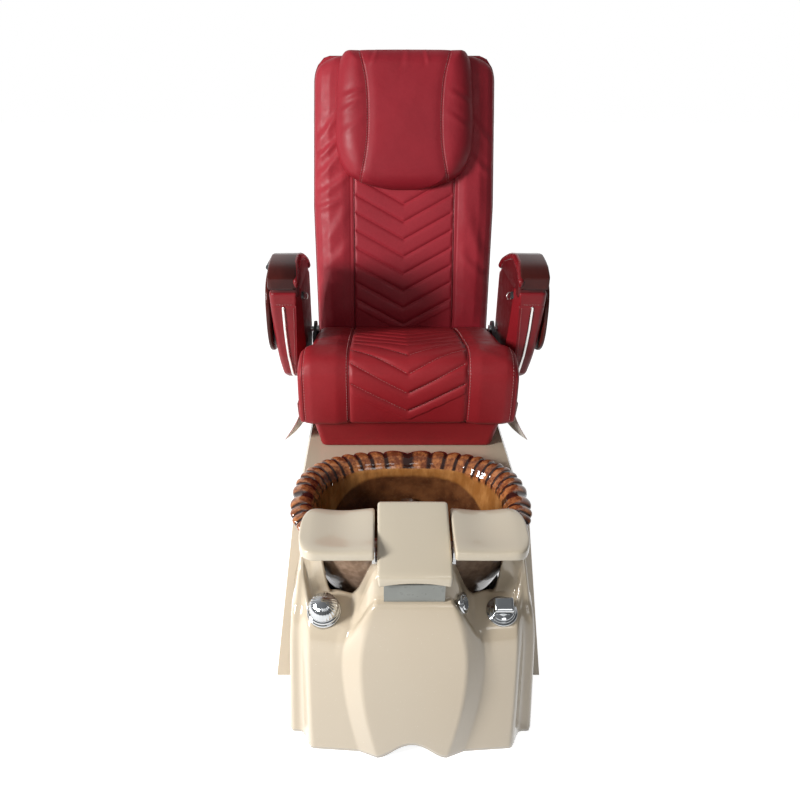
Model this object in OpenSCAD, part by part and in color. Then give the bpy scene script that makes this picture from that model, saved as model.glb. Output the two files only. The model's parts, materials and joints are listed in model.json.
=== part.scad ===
// Pedicure spa chair: a reclining massage-style seat on a stepped moulded base
// with a fluted glass foot bowl, an adjustable footrest, flip-up arms and fold-out trays.
// Millimetres. +X is the sitter's left, +Y runs to the rear, +Z is up.
// The origin is on the floor, on the centre plane, half-way along the base.

/* [Base] */
// Length of the base on the floor
base_l = 1060; // [1000:10:1160]
// Width of the rear body on the floor
base_w = 652; // [630:2:700]
// Width of the deck at the top of the rear body
deck_w = 530; // [524:2:560]
// Height of the deck above the floor
deck_z = 445; // [430:5:480]
// Wall of the moulded shells
shell_t = 5; // [4:0.5:7]
// Distance from the front toes to the rear body
rear_y = 225; // [215:1:235]
// Width of the middle step on the floor
mid_w = 562; // [550:2:580]
// Distance from the front toes to the middle step
mid_y = 67; // [60:1:75]
// Width across the front wings on the floor
wing_w = 456; // [440:2:470]
// Distance from the front toes to the wings
wing_y = 20; // [15:1:28]
// Clearance of the shells above the floor
floor_gap = 1.5; // [1:0.5:3]

/* [Front panel] */
// Width of the panel between its two toes
panel_toe_w = 152; // [140:2:170]
// Width of the panel at its waistline
panel_mid_w = 220; // [200:2:236]
// Width of the panel at its top edge
panel_top_w = 156; // [146:2:170]
// Height of the panel's widest line
panel_mid_z = 254; // [230:2:280]
// Height of the panel's top edge
panel_top_z = 389; // [370:1:400]
// How far the panel leans back at its top edge
panel_lean = 60; // [50:1:64]
// Height of the arch between the toes
arch_h = 28; // [15:1:40]

/* [Shoulders] */
// Height of the front edge of the shoulders
shoulder_z = 310; // [295:1:325]
// Rise of the shoulders towards the bowl, per mm of depth
shoulder_slope = 0.4; // [0.3:0.05:0.5]
// Distance of the scooped valleys from the centre plane
valley_x = 130; // [120:1:140]

/* [Foot bowl] */
// Width over the fluted rim
bowl_w = 542; // [520:2:560]
// Length over the fluted rim
bowl_l = 395; // [380:1:420]
// Distance from the front toes to the rim
bowl_y0 = 134; // [128:1:140]
// Depth of the bowl below the deck
bowl_depth = 232; // [200:2:260]
// Thickness of the glass
glass_t = 9; // [7:0.5:12]
// Width of the fluted rim
rim_w = 46; // [40:1:52]
// Thickness of the fluted rim
rim_h = 22; // [18:1:28]
// Number of flutes round the rim
flutes = 44; // [36:1:56]
// Depth of the flutes
flute_d = 3.5; // [2:0.5:6]
// Thickness of the rim gasket
gasket_t = 3; // [2:0.5:4]
// Radius of the drain outlet
drain_r = 22; // [18:1:28]
// Radius of the whirlpool jet cover
jet_r = 40; // [34:1:46]
// Height of the jet above the bowl's floor
jet_rise = 104; // [90:2:120]

/* [Taps] */
// Distance of the taps from the centre plane
tap_x = 188; // [180:1:196]
// Distance of the taps from the front toes
tap_y = 104; // [100:1:108]
// Radius of the mixer knob
knob_r = 32; // [26:1:34]
// Height of the mixer knob
knob_h = 40; // [32:1:48]
// Radius of the diverter flange
lever_r = 30; // [26:1:32]
// Travel of the air switch button
button_travel = 3; // [2:0.5:4]

/* [Footrest] */
// Width of the middle foot pad
pad_w = 150; // [140:2:156]
// Length of the middle foot pad
pad_l = 176; // [160:2:190]
// Thickness of the middle foot pad
pad_t = 34; // [26:1:40]
// Slope of the middle foot pad, degrees
pad_slope = 19; // [12:1:24]
// Width of each side pad
side_pad_w = 156; // [140:2:160]
// Length of each side pad, front to back
side_pad_l = 144; // [120:2:150]
// Thickness of each side pad
side_pad_t = 36; // [28:1:44]
// Gap between the middle pad and the side pads
pad_gap = 5; // [3:0.5:10]
// Travel of the footrest lift
lift_travel = 50; // [30:5:55]
// Radius of the footrest hinge pin
foot_pin_r = 3; // [2:0.5:3.5]

/* [Seat] */
// Width of the front bolster of the seat
seat_w = 552; // [530:2:570]
// Width of the seat between the arms
seat_rear_w = 512; // [490:2:514]
// Distance from the front toes to the seat front
seat_y = 548; // [540:1:570]
// Length of the seat cushion
seat_l = 456; // [430:2:462]
// Height of the seat board above the deck
seat_rise = 75; // [70:1:90]
// Height of the seat's front face
seat_h = 186; // [160:2:200]
// Fall of the seat top from front to back
seat_fall = 84; // [60:2:100]
// Thickness of the seat board
board_t = 10; // [8:1:15]
// Depth of the sewn channels
channel_d = 5; // [2:0.5:7]
// Pitch of the sewn chevrons
chevron_pitch = 51; // [44:1:60]
// Width of the sewn insert
insert_w = 296; // [260:2:320]
// Rearward travel of the seat slide
slide_travel = 150; // [100:10:160]

/* [Backrest] */
// Length of the backrest, bottom to top
back_l = 803; // [740:1:830]
// Widest width of the backrest
back_w = 536; // [510:2:538]
// Width of the backrest at its bottom
back_foot_w = 520; // [500:2:530]
// Thickness of the back cushion
back_t = 70; // [60:1:80]
// Depth of the rear cover
back_shell_d = 55; // [45:1:65]
// Lean of the backrest at rest, degrees
back_lean = 14; // [10:1:18]
// Recline travel, degrees
recline = 25; // [15:1:30]
// Radius of the recline pins
recline_pin_r = 8; // [6:0.5:10]
// Width of the head pillow
pillow_w = 398; // [360:2:420]
// Height of the head pillow
pillow_l = 372; // [330:2:400]
// Thickness of the head pillow
pillow_t = 66; // [50:1:80]

/* [Arms] */
// Width between the arms
arm_gap_w = 542; // [540:1:560]
// Width of each arm
arm_w = 79; // [70:1:86]
// Distance from the front toes to the arm fronts
arm_y = 654; // [645:1:670]
// Length of the arm caps
arm_l = 306; // [280:2:320]
// Height of the arm caps' crest above the seat board
arm_rise = 392; // [370:2:420]
// Thickness of the arm caps
cap_t = 34; // [26:1:40]
// Radius of the arm pivot pins
arm_pin_r = 8; // [6:0.5:10]
// Length of each tray
tray_l = 206; // [180:2:220]
// Height of each stowed tray
tray_h = 226; // [200:2:240]
// Thickness of each tray
tray_t = 12; // [9:1:16]

/* [Hidden] */
$fn = 40;

// Clearances: running fit of a pin in its bore, and the air between pieces that pass each other
fit = 0.05;
air = 0.3;

// ---- Small helpers ----

function mix(a, b, t) = a + (b - a) * t;
function clamp(v, lo, hi) = max(lo, min(hi, v));
function smooth(t) = let (s = clamp(t, 0, 1)) s * s * (3 - 2 * s);
function total(v) = v * [for (x = v) 1];
function mean(points) = [for (k = [0:2]) total([for (p = points) p[k]]) / len(points)];
function backwards(list) = [for (i = [len(list) - 1:-1:0]) list[i]];
// Superellipse of half-axes a and b round a centre, as n points
function oval(a, b, power, n, centre = [0, 0]) = [for (i = [0:n - 1])
    let (c = cos(360 * i / n), s = sin(360 * i / n))
    centre + [a * sign(c) * pow(abs(c), 2 / power), b * sign(s) * pow(abs(s), 2 / power)]];
// Rounded rectangle as 4 * k points, from corner lo to corner hi
function rounded(lo, hi, r, k = 4) = [for (q = [0:3]) for (i = [0:k - 1])
    let (t = 90 * (q + i / (k - 1)),
         cx = (q == 0 || q == 3) ? hi[0] - r : lo[0] + r,
         cy = q < 2 ? hi[1] - r : lo[1] + r)
    [cx + r * cos(t), cy + r * sin(t)]];

// Closed skin through rings of equally many points. "fan" ends close to their middle,
// "ladder" ends join each point to its partner on the ring's other half, "loop" has no ends.
module skin(rings, ends = "fan") {
    n = len(rings[0]);
    m = len(rings);
    last = (m - 1) * n;
    bands = ends == "loop" ? m : m - 1;
    side = [for (j = [0:bands - 1]) for (i = [0:n - 1])
        let (a = j * n + i, b = j * n + (i + 1) % n, c = (a + n) % (m * n), d = (b + n) % (m * n))
        each [[a, c, b], [b, c, d]]];
    fan = [for (i = [0:n - 1]) each [[i, (i + 1) % n, m * n], [last + (i + 1) % n, last + i, m * n + 1]]];
    ladder = [for (i = [0:n / 2 - 2]) let (p = n - 1 - i)
        each [[i, i + 1, p], [i + 1, p - 1, p],
              [last + i + 1, last + i, last + p], [last + p - 1, last + i + 1, last + p]]];
    polyhedron(concat([for (r = rings) each r], ends == "fan" ? [mean(rings[0]), mean(rings[m - 1])] : []),
        concat(side, ends == "fan" ? fan : ends == "ladder" ? ladder : []));
}

// From the builder's frame, where y = 0 is the line of the front toes, to the model's frame
module placed() translate([0, -base_l / 2, 0]) children();
module both_sides() {
    children();
    mirror([1, 0, 0]) children();
}
// A bar along X between x0 and x1
module pin_x(x0, x1, r, y, z) translate([x0, y, z]) rotate([0, 90, 0]) cylinder(h = x1 - x0, r = r);
// A plate with the outline of (y, z) points, from x0 to x1
module plate_x(x0, x1, outline)
    multmatrix([[0, 0, 1, x0], [1, 0, 0, 0], [0, 1, 0, 0], [0, 0, 0, 1]])
        linear_extrude(x1 - x0) polygon(outline);

// ---- Base: outline of each layer by height, and of the shoulders by depth ----

toe_half = panel_toe_w / 2;
pedestal_half = panel_top_w / 2 - 3;
rear_lean = 37;
deck_front = rear_y + rear_lean;
valley_end = bowl_y0 + 12;
facet_w = 40;
wing_sweep = 8;
mid_drop = 15;

function panel_half(z) = z < panel_mid_z
    ? mix(toe_half, panel_mid_w / 2, sin(90 * z / panel_mid_z))
    : mix(panel_top_w / 2, panel_mid_w / 2, cos(90 * min(1, (z - panel_mid_z) / (panel_top_z - panel_mid_z))));
function panel_front(z) = panel_lean * pow(z / panel_top_z, 2.6);
function wing_half(z) = wing_w / 2 - 5 * z / shoulder_z;
function wing_front(z) = mix(wing_y, panel_lean, pow(z / shoulder_z, 1.6));
function mid_half(z) = lookup(z, [[0, mid_w / 2], [shoulder_z - 5, mid_w / 2 - mid_drop],
    [shoulder_z + 30, mid_w / 2 - mid_drop - 10], [deck_z, mid_w / 2 - mid_drop - 27]]);
function mid_front(z) = mid_y + 28 * pow(z / shoulder_z, 1.3);
function rear_half(z) = mix(base_w / 2, deck_w / 2, z / deck_z);
function rear_front(z) = rear_y + rear_lean * z / deck_z;

bowl_y = bowl_y0 + bowl_l / 2;
opening_x = bowl_w / 2 - 40;
opening_l = bowl_l / 2 - 7;
// Front edge of the bowl's opening at a distance x from the centre plane
function opening_y(x) = bowl_y - opening_l * pow(1 - pow(min(1, x / opening_x), 4), 1 / 4);

function shoulder(y) = shoulder_z + shoulder_slope * (y - panel_lean)
    - 1.6 * max(0, y - valley_end);
function mid_top(y) = lookup(y, [[mid_y + 28, shoulder_z - 5], [mid_y + 53, shoulder_z + 14],
    [mid_y + 83, mix(shoulder_z, deck_z, 0.58)], [mid_y + 118, deck_z - 9], [rear_y - 4, deck_z]]);
function pedestal_top(y) = lookup(y, [[panel_lean, panel_top_z], [panel_lean + 15, panel_top_z + 2],
    [panel_lean + 30, deck_z - 10], [panel_lean + 44, deck_z]]);
function scoop(x, y) = shoulder(y)
    + min(deck_z - shoulder(y) - 4, 0.033 * pow(x - valley_x, 2)) * smooth((y - tap_y - knob_r + 2) / 26);

// Columns of the front skin, from the centre plane outwards, as [kind, share]
columns = [["panel", 0], ["panel", 0.5], ["panel", 1], ["facet", 0.5], ["facet", 1],
    ["wing", 0.22], ["wing", 0.45], ["wing", 0.7], ["wing", 0.88], ["wing", 1],
    ["mid", 0], ["mid", 0.5], ["mid", 1], ["return", 1]];
wall_rows = [0, 0.12, 0.3, 0.5, 0.66, 0.82, 0.94, 1];
top_rows = [0.05, 0.12, 0.21, 0.31, 0.43, 0.55, 0.72, 1];

// Point of the front wall: row share t of the height of column c
function wall_point(c, t) = let (k = c[0], s = c[1],
        z = max(floor_gap, t * (k == "panel" ? panel_top_z : k == "facet" ? mix(panel_top_z, shoulder_z, s)
            : shoulder_z)),
        zp = min(z, panel_top_z), edge = panel_half(zp), crease = panel_half(min(z, panel_mid_z)) + facet_w)
    k == "panel" ? [s * edge, panel_front(zp), z]
    : k == "facet" ? [mix(edge, crease, s), mix(panel_front(zp), wing_front(z) - wing_sweep / 2, s), z]
    : k == "wing" ? [mix(crease, wing_half(z), s), wing_front(z) + wing_sweep * (s - 0.5), z]
    : k == "mid" ? [mix(wing_half(z) + 13, mid_half(z), s), mid_front(z), z]
    : [mid_half(z) + 1.5, rear_front(z) - air, z];
// Point of the shoulders: row share t of the way back to the deck
function top_point(c, t) = let (k = c[0], s = c[1],
        y0 = k == "mid" ? mid_y + 28 : panel_lean, depth = rear_y - 4 - y0,
        edge = mix(panel_top_w / 2, pedestal_half, min(1, 4 * t)),
        wing_x = wing_half(shoulder_z) - 2 * t, wing_s = mix(valley_x, wing_x, s),
        x_end = k == "panel" ? s * edge : k == "facet" ? mix(edge, valley_x, s) : wing_s,
        y_end = k == "mid" ? rear_y - 4 : min(rear_y - 4, opening_y(x_end) - 8),
        y = mix(y0, y_end, t), step = 16 * (1 - smooth((y - y0) / depth * 1.6)))
    k == "panel" ? [s * edge, y, pedestal_top(y)]
    : k == "facet" ? [mix(edge, valley_x, s), y, mix(pedestal_top(y), shoulder(y), s)]
    : k == "wing" ? [wing_s, y, mix(shoulder(y), mix(scoop(wing_s, y), mid_top(y) + step,
        smooth((s - 0.62) / 0.38)), smooth((norm([wing_s - tap_x, y - tap_y]) - knob_r - 18) / 10))]
    : k == "mid" ? let (z = mid_top(y)) [mix(wing_x + 10, mid_half(z), s), y, z]
    : let (z = mid_top(mix(mid_y + 28, rear_y - 4, 0.9 * t))) [mid_half(z) + 1.5, rear_front(z) - air, z];
function front_column(c) = concat([for (t = wall_rows) wall_point(c, t)],
    [for (t = top_rows) top_point(c, t)],
    [let (p = top_point(c, 1)) [p[0], min(deck_front - air, opening_y(p[0])), p[2]]]);
front_grid = [for (c = columns) front_column(c)];
last_column = len(columns) - 1;
last_row = len(front_grid[0]) - 1;
// Direction out of the skin at column c and row r of its grid
function outward(c, r) = let (p = front_grid[c], q = front_grid[abs(c - 1)][r],
        before = c == 0 ? [-q[0], q[1], q[2]] : q, after = front_grid[min(c + 1, last_column)][r],
        n = cross(after - before, p[min(r + 1, last_row)] - p[max(r - 1, 0)]))
    c == last_column ? [1, 0, 0] : r == last_row ? [0, 0, 1] : n / norm(n);
// The inner face lies one wall thickness inside each outer point
function inside(c, r) = let (p = front_grid[c][r], q = p - shell_t * outward(c, r))
    [q[0], min(q[1], front_grid[c][last_row][1]), r == 0 ? p[2] : q[2]];
function column_ring(c, side) = [for (p = concat(front_grid[c], [for (r = [last_row:-1:0]) inside(c, r)]))
    [side * p[0], p[1], p[2]]];

// Plan outline of the rear body, square in front and rounded behind
function body_outline(half, front, rear, r, z) = concat(
    [[-half, front, z], [half, front, z]],
    [for (i = [0:6]) [half - r + r * cos(15 * i), rear - r + r * sin(15 * i), z]],
    [for (i = [0:6]) [-half + r - r * sin(15 * i), rear - r + r * cos(15 * i), z]]);
body_rear_lean = 22;
body_corner = 55;
// The rear body's block, through layers of [inset, height]
module body_block(layers) skin([for (k = layers) let (z = k[1])
    body_outline(rear_half(z) - k[0], rear_front(z) + k[0], rear_face(z) - k[0], body_corner - k[0], z)]);
module deck_opening(h) translate([0, 0, deck_z - h])
    linear_extrude(h + 40) polygon(oval(opening_x, opening_l, 4, 48, [0, bowl_y]));

panel_half_w = 190;
panel_z0 = 80;
panel_z1 = 330;

module base_shell() color([0.87, 0.80, 0.68]) placed() difference() {
    body_block([[0, floor_gap], [0, deck_z - 8], [5, deck_z]]);
    body_block([[shell_t, -1], [shell_t, deck_z - shell_t]]);
    deck_opening(60);
    front_passage();
    translate([-panel_half_w, base_l - 60, panel_z0])
        cube([2 * panel_half_w, 80, panel_z1 - panel_z0]);
    for (x = inlet_x) inlet_at(x) translate([0, 0, -20]) cylinder(h = 60, r = inlet_r + air);
    translate([power_x - 24, base_l - 60, inlet_z - 16]) cube([48, 80, 32]);
}

// The way from the front apron into the rear body
module front_passage() {
    half0 = mid_half(0) - 6;
    half1 = mid_half(deck_z) - 6;
    translate([0, deck_front + shell_t + 1, 0]) rotate([90, 0, 0]) linear_extrude(80)
        polygon([[-half0, -1], [half0, -1], [half1, deck_z - shell_t], [-half1, deck_z - shell_t]]);
}

box_half = 62;
box_y0 = panel_lean + 6;
box_y1 = box_y0 + 44;
box_z0 = panel_top_z + 2.5;
box_z1 = box_z0 + 43;

arch_r = toe_half * 1.15;
module front_apron() color([0.89, 0.82, 0.70]) placed() difference() {
    skin(concat([for (c = [last_column:-1:0]) column_ring(c, 1)],
        [for (c = [1:last_column]) column_ring(c, -1)]), "ladder");
    translate([-box_half - air, box_y0 - air, box_z0]) cube([2 * (box_half + air), 44 + 2 * air, 80]);
    translate([0, -20, floor_gap + arch_h - arch_r]) rotate([-90, 0, 0]) cylinder(h = 90, r = arch_r, $fn = 64);
    for (side = [-1, 1]) tap_place(side) translate([0, 0, -40]) cylinder(h = 60, r = valve_r + air);
    switch_place() translate([0, 0, -30]) cylinder(h = 60, r = button_r + 3 + air);
}

// ---- Chassis and services ----

pad_thick = 3;
tube = 40;
frame_x = 215;
frame_y = [120, base_l / 2, base_l - 80];

module floor_pads() color([0.12, 0.12, 0.12]) placed() {
    for (x = [-frame_x, frame_x]) for (y = [frame_y[0], frame_y[2]])
        translate([x - 30, y - 25, 0]) cube([60, 50, pad_thick]);
    translate([-40, frame_y[1] - 25, 0]) cube([80, 50, pad_thick]);
}

module chassis_frame() color([0.25, 0.26, 0.28]) placed() {
    both_sides() {
        translate([frame_x - tube / 2, frame_y[0] - tube / 2, pad_thick])
            tube_y(frame_y[2] - frame_y[0] + tube);
        for (y = [deck_front + 330, frame_y[2]])
            translate([frame_x - tube / 2, y - tube / 2, pad_thick + tube])
                difference() {
                    cube([tube, tube, deck_z - shell_t - pad_thick - tube]);
                    translate([3, 3, -1]) cube([tube - 6, tube - 6, deck_z]);
                }
    }
    for (y = frame_y)
        translate([-frame_x + tube / 2, y - tube / 2, pad_thick]) difference() {
            cube([2 * frame_x - tube, tube, tube]);
            translate([-1, 3, 3]) cube([2 * frame_x, tube - 6, tube - 6]);
        }
}
module tube_y(l) difference() {
    cube([tube, l, tube]);
    translate([3, -1, 3]) cube([tube - 6, l + 2, tube - 6]);
}

function rear_face(z) = base_l - body_rear_lean * z / deck_z;
rear_tilt = atan(body_rear_lean / deck_z);
// Frame on the rear wall at height z: +Z points out of the wall, +Y up along it
module on_rear(x, z) translate([x, rear_face(z), z]) rotate([90 - rear_tilt, 0, 180]) children();

module service_panel() color([0.85, 0.78, 0.66]) placed() difference() {
    on_rear(0, (panel_z0 + panel_z1) / 2)
        translate([-panel_half_w - 14, -(panel_z1 - panel_z0) / 2 - 14, air])
            cube([2 * panel_half_w + 28, panel_z1 - panel_z0 + 28, 3]);
    on_rear(0, (panel_z0 + panel_z1) / 2) for (i = [-4:4]) translate([-70, i * 16 - 4, -5]) cube([140, 8, 20]);
    on_rear(0, (panel_z0 + panel_z1) / 2) for (sx = [-1, 1]) for (sy = [-1, 1])
        translate([sx * (panel_half_w + 6), sy * ((panel_z1 - panel_z0) / 2 + 6), -5])
            cylinder(h = 20, r = 2.2, $fn = 20);
}
module panel_screws() color("silver") placed()
    on_rear(0, (panel_z0 + panel_z1) / 2) for (sx = [-1, 1]) for (sy = [-1, 1])
        translate([sx * (panel_half_w + 6), sy * ((panel_z1 - panel_z0) / 2 + 6), 3 + air])
            cylinder(h = 2.2, r = 4.5, $fn = 24);

inlet_x = [-240, -205];
inlet_z = 42;
inlet_r = 10;
power_x = 225;
module inlet_at(x) on_rear(x, inlet_z) children();
module water_inlets() color([0.80, 0.65, 0.30]) placed() for (x = inlet_x) inlet_at(x) difference() {
    union() {
        translate([0, 0, -shell_t - 25]) cylinder(h = shell_t + 25 + 8, r = inlet_r);
        translate([0, 0, air]) cylinder(h = 6, r = inlet_r + 5, $fn = 6);
    }
    translate([0, 0, -shell_t - 26]) cylinder(h = 60, r = inlet_r - 3);
}
module power_inlet() color([0.10, 0.10, 0.11]) placed() on_rear(power_x, inlet_z) difference() {
    union() {
        translate([-28, -20, air]) cube([56, 40, 3]);
        translate([-23, -15, -shell_t - 20]) cube([46, 30, shell_t + 21]);
    }
    translate([-13, -9, -14]) cube([26, 18, 40]);
}

// ---- Foot bowl ----

rim_z = deck_z + gasket_t;
bowl_floor_z = rim_z - bowl_depth;
bowl_power = 2.7;
basin_a = bowl_w / 2 - rim_w;
basin_b = bowl_l / 2 - rim_w;
// Draw-in of the basin wall at each share of its depth
basin_steps = [[0, 0], [0.26, 4], [0.52, 12], [0.74, 24], [0.88, 42], [0.97, 70], [1, 100]];
function basin_ring(step, inset, lift) = [for (p = oval(basin_a - step[1] - inset,
        basin_b - step[1] * basin_b / basin_a - inset, bowl_power, 48, [0, bowl_y]))
    [p[0], p[1], rim_z - step[0] * bowl_depth + lift]];
// Height of one flute's crest round the rim, 0 in the grooves
function flute(i) = flute_d * sin(180 * ((i % 4) / 4));
rim_n = flutes * 4;
// Rim section as [distance in from the outer edge, height, share of the flute]
rim_section = [[rim_w * 0.12, 0, 0], [flute_d, rim_h * 0.42, 1], [rim_w * 0.26, rim_h * 0.84, 1],
    [rim_w * 0.6, rim_h, 1], [rim_w + 3, rim_h * 0.72, 0], [rim_w + 5, 1, 0]];
function rim_ring(s) = [for (i = [0:rim_n - 1]) let (rise = flute(i) * s[2],
        p = oval(bowl_w / 2 - s[0] + rise, bowl_l / 2 - s[0] + rise, bowl_power, rim_n, [0, bowl_y])[i])
    [p[0], p[1], rim_z + s[1] + rise * 0.6]];

module glass_bowl() color([0.55, 0.27, 0.10, 0.6]) placed() difference() {
    union() {
        skin(concat([for (s = backwards(basin_steps)) basin_ring(s, 0, 0)],
            [basin_ring([0, 0], 0, rim_h * 0.5), basin_ring([0, 0], glass_t, rim_h * 0.7)],
            [for (s = basin_steps) basin_ring(s, glass_t, s[0] > 0.9 ? glass_t : 0)]));
        skin([for (s = rim_section) rim_ring(s)], "loop");
    }
    translate([0, bowl_y, bowl_floor_z - 10]) cylinder(h = 40, r = drain_r + air);
    translate([0, bowl_y, jet_z]) rotate([-90, 0, 0]) cylinder(h = 300, r = jet_neck_r + air);
}

module bowl_gasket() color([0.08, 0.08, 0.08]) placed() translate([0, 0, deck_z]) linear_extrude(gasket_t)
    difference() {
        polygon(oval(bowl_w / 2 - rim_w * 0.2, bowl_l / 2 - rim_w * 0.2, bowl_power, 64, [0, bowl_y]));
        polygon(oval(basin_a + 1, basin_b + 1, bowl_power, 64, [0, bowl_y]));
    }

module drain_strainer() color("silver") placed() translate([0, bowl_y, bowl_floor_z + glass_t]) difference() {
    union() {
        translate([0, 0, air]) cylinder(h = 3, r = drain_r + 10);
        translate([0, 0, -glass_t - 6]) cylinder(h = glass_t + 8, r = drain_r);
    }
    translate([0, 0, -glass_t - 7]) cylinder(h = glass_t + 7, r = drain_r - 3);
    for (i = [0:7]) rotate(45 * i) translate([drain_r * 0.6, 0, -5]) cylinder(h = 20, r = 3, $fn = 20);
    translate([0, 0, -5]) cylinder(h = 20, r = 3, $fn = 20);
}
module drain_trap() color([0.92, 0.92, 0.92]) placed() {
    translate([0, bowl_y, bowl_floor_z - 6]) difference() {
        union() {
            translate([0, 0, -48]) cylinder(h = 48 - air, r = drain_r + 4);
            translate([0, 0, -48]) cylinder(h = 14, r = drain_r + 10);
        }
        translate([0, 0, -40]) cylinder(h = 60, r = drain_r - 3);
    }
    translate([0, bowl_y + drain_r, bowl_floor_z - 40]) rotate([-90, 0, 0]) difference() {
        cylinder(h = 150, r = 14);
        translate([0, 0, 6]) cylinder(h = 150, r = 11);
    }
}

jet_z = bowl_floor_z + glass_t + jet_rise;
jet_neck_r = 20;
function basin_inset(z) = lookup((rim_z - z) / bowl_depth, basin_steps);
function basin_rear(z, inset) = bowl_y + basin_b * (1 - basin_inset(z) / basin_a) - inset;
jet_y = basin_rear(jet_z - jet_r, glass_t) - 1;
jet_motor_y = basin_rear(jet_z + jet_r + 12, 0) + 1;
module at_jet(y) translate([0, y, jet_z]) rotate([90, 0, 0]) children();
module jet_cover() color("silver") placed() difference() {
    union() {
        at_jet(jet_y) cylinder(h = 20, r = jet_r);
        at_jet(jet_y - 20) cylinder(h = 7, r1 = jet_r, r2 = jet_r - 9, $fn = 48);
    }
    at_jet(jet_y + 1) cylinder(h = 22, r = jet_r - 3);
    at_jet(jet_y) for (i = [0:9]) rotate(36 * i) translate([jet_r * 0.55, 0, 0])
        cylinder(h = 40, r = 4.5, $fn = 20);
    at_jet(jet_y + 1) for (i = [0:5]) rotate(60 * i) translate([jet_r - 10, -4, 0]) cube([20, 8, 8]);
}
module jet_impeller() color([0.15, 0.15, 0.17]) placed() {
    at_jet(jet_y - 2) {
        cylinder(h = 4, r = jet_r - 8);
        for (i = [0:5]) rotate(60 * i) translate([6, -1.5, 3.9]) cube([jet_r - 16, 3, 9]);
    }
    at_jet(jet_motor_y + 24) cylinder(h = jet_motor_y + 28 - jet_y, r = 6);
}
module jet_motor() color([0.20, 0.22, 0.26]) placed() difference() {
    union() {
        at_jet(jet_motor_y + 92) cylinder(h = 84, r = 44);
        at_jet(jet_motor_y + 8) cylinder(h = 8, r = 52);
        at_jet(jet_motor_y) cylinder(h = jet_motor_y - jet_y - 3, r = jet_neck_r);
        translate([-30, jet_motor_y + 20, jet_z - 70]) cube([60, 60, 40]);
    }
    at_jet(jet_motor_y + 24 + 2) cylinder(h = 200, r = 6 + fit);
}

// ---- Taps and air switch ----

valve_r = 15;
button_r = 15;
tap_tilt = atan(shoulder_slope);
module tap_place(side) translate([side * tap_x, tap_y, shoulder(tap_y) + 1]) rotate([tap_tilt, 0, 0])
    children();

module mixer_flange() color("silver") placed() tap_place(-1) difference() {
    union() {
        cylinder(h = 6, r = knob_r + 3);
        for (i = [0:35]) rotate(10 * i) translate([knob_r + 2.6, -1.2, 0]) cube([1.4, 2.4, 6]);
    }
    translate([0, 0, -1]) cylinder(h = 10, r = valve_r + air);
}
module mixer_knob() color("silver") placed() tap_place(-1) translate([0, 0, 6 + air]) difference() {
    union() {
        cylinder(h = 15, r = knob_r);
        translate([0, 0, 15]) rotate_extrude($fn = 64)
            polygon(concat([[0, 0], [knob_r, 0]],
                [for (i = [1:9]) [knob_r * cos(10 * i), (knob_h - 15) * sin(10 * i)]]));
        translate([-1.5, -knob_r - 0.8, 2]) cube([3, 6, 12]);
    }
    translate([0, 0, -1]) cylinder(h = 13, r = 9 + fit);
}
module mixer_valve() color([0.80, 0.65, 0.30]) placed() tap_place(-1) {
    translate([0, 0, -60]) cylinder(h = 64, r = valve_r);
    cylinder(h = 6 + air + 11, r = 9);
    translate([-26, -12, -58]) cube([52, 24, 30]);
}
module diverter_flange() color("silver") placed() tap_place(1) difference() {
    union() {
        translate([0, 0, 2.6]) cylinder(h = 1.6, r = lever_r - 1);
        cylinder(h = 4, r = valve_r + 6);
        translate([0, 0, 4]) cylinder(h = 5, r1 = lever_r - 4, r2 = lever_r - 10, $fn = 48);
    }
    translate([0, 0, -1]) cylinder(h = 14, r = valve_r + air);
}
module diverter_lever() color("silver") placed() tap_place(1) translate([0, 0, 9 + air]) difference() {
    union() {
        cylinder(h = 13, r = 19);
        translate([0, 0, 13]) cylinder(h = 6, r = 15.5);
        translate([0, 0, 19]) rotate(62) translate([-19, -17, 0]) cube([42, 34, 17]);
    }
    translate([0, 0, -1]) cylinder(h = 12, r = 9 + fit);
}
module diverter_valve() color([0.80, 0.65, 0.30]) placed() tap_place(1) {
    translate([0, 0, -60]) cylinder(h = 64, r = valve_r);
    cylinder(h = 9 + air + 10, r = 9);
    translate([-26, -12, -58]) cube([52, 24, 30]);
}

// The air switch sits on the slope beside the panel, on the sitter's left
switch_pos = [100, panel_lean + 22, 372];
module switch_place() translate(switch_pos) rotate([40, 0, 0]) rotate([0, 62, 0]) children();
module switch_bezel() color("silver") placed() switch_place() difference() {
    union() {
        translate([0, 0, 3]) cylinder(h = 3, r = button_r + 6);
        translate([0, 0, -26]) cylinder(h = 30, r = button_r + 3);
    }
    translate([0, 0, -22]) cylinder(h = 60, r = button_r + air);
}
module switch_button() color("silver") placed() switch_place() {
    translate([0, 0, -10]) cylinder(h = 18, r = button_r);
    translate([0, 0, -17]) cylinder(h = 8, r = 5);
}

// ---- Foot pads ----

pads_z = rim_z + rim_h + 6;
side_pad_x = pad_w / 2 + pad_gap;
side_pad_y = bowl_y0 - 48;
side_lip = 34;
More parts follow.
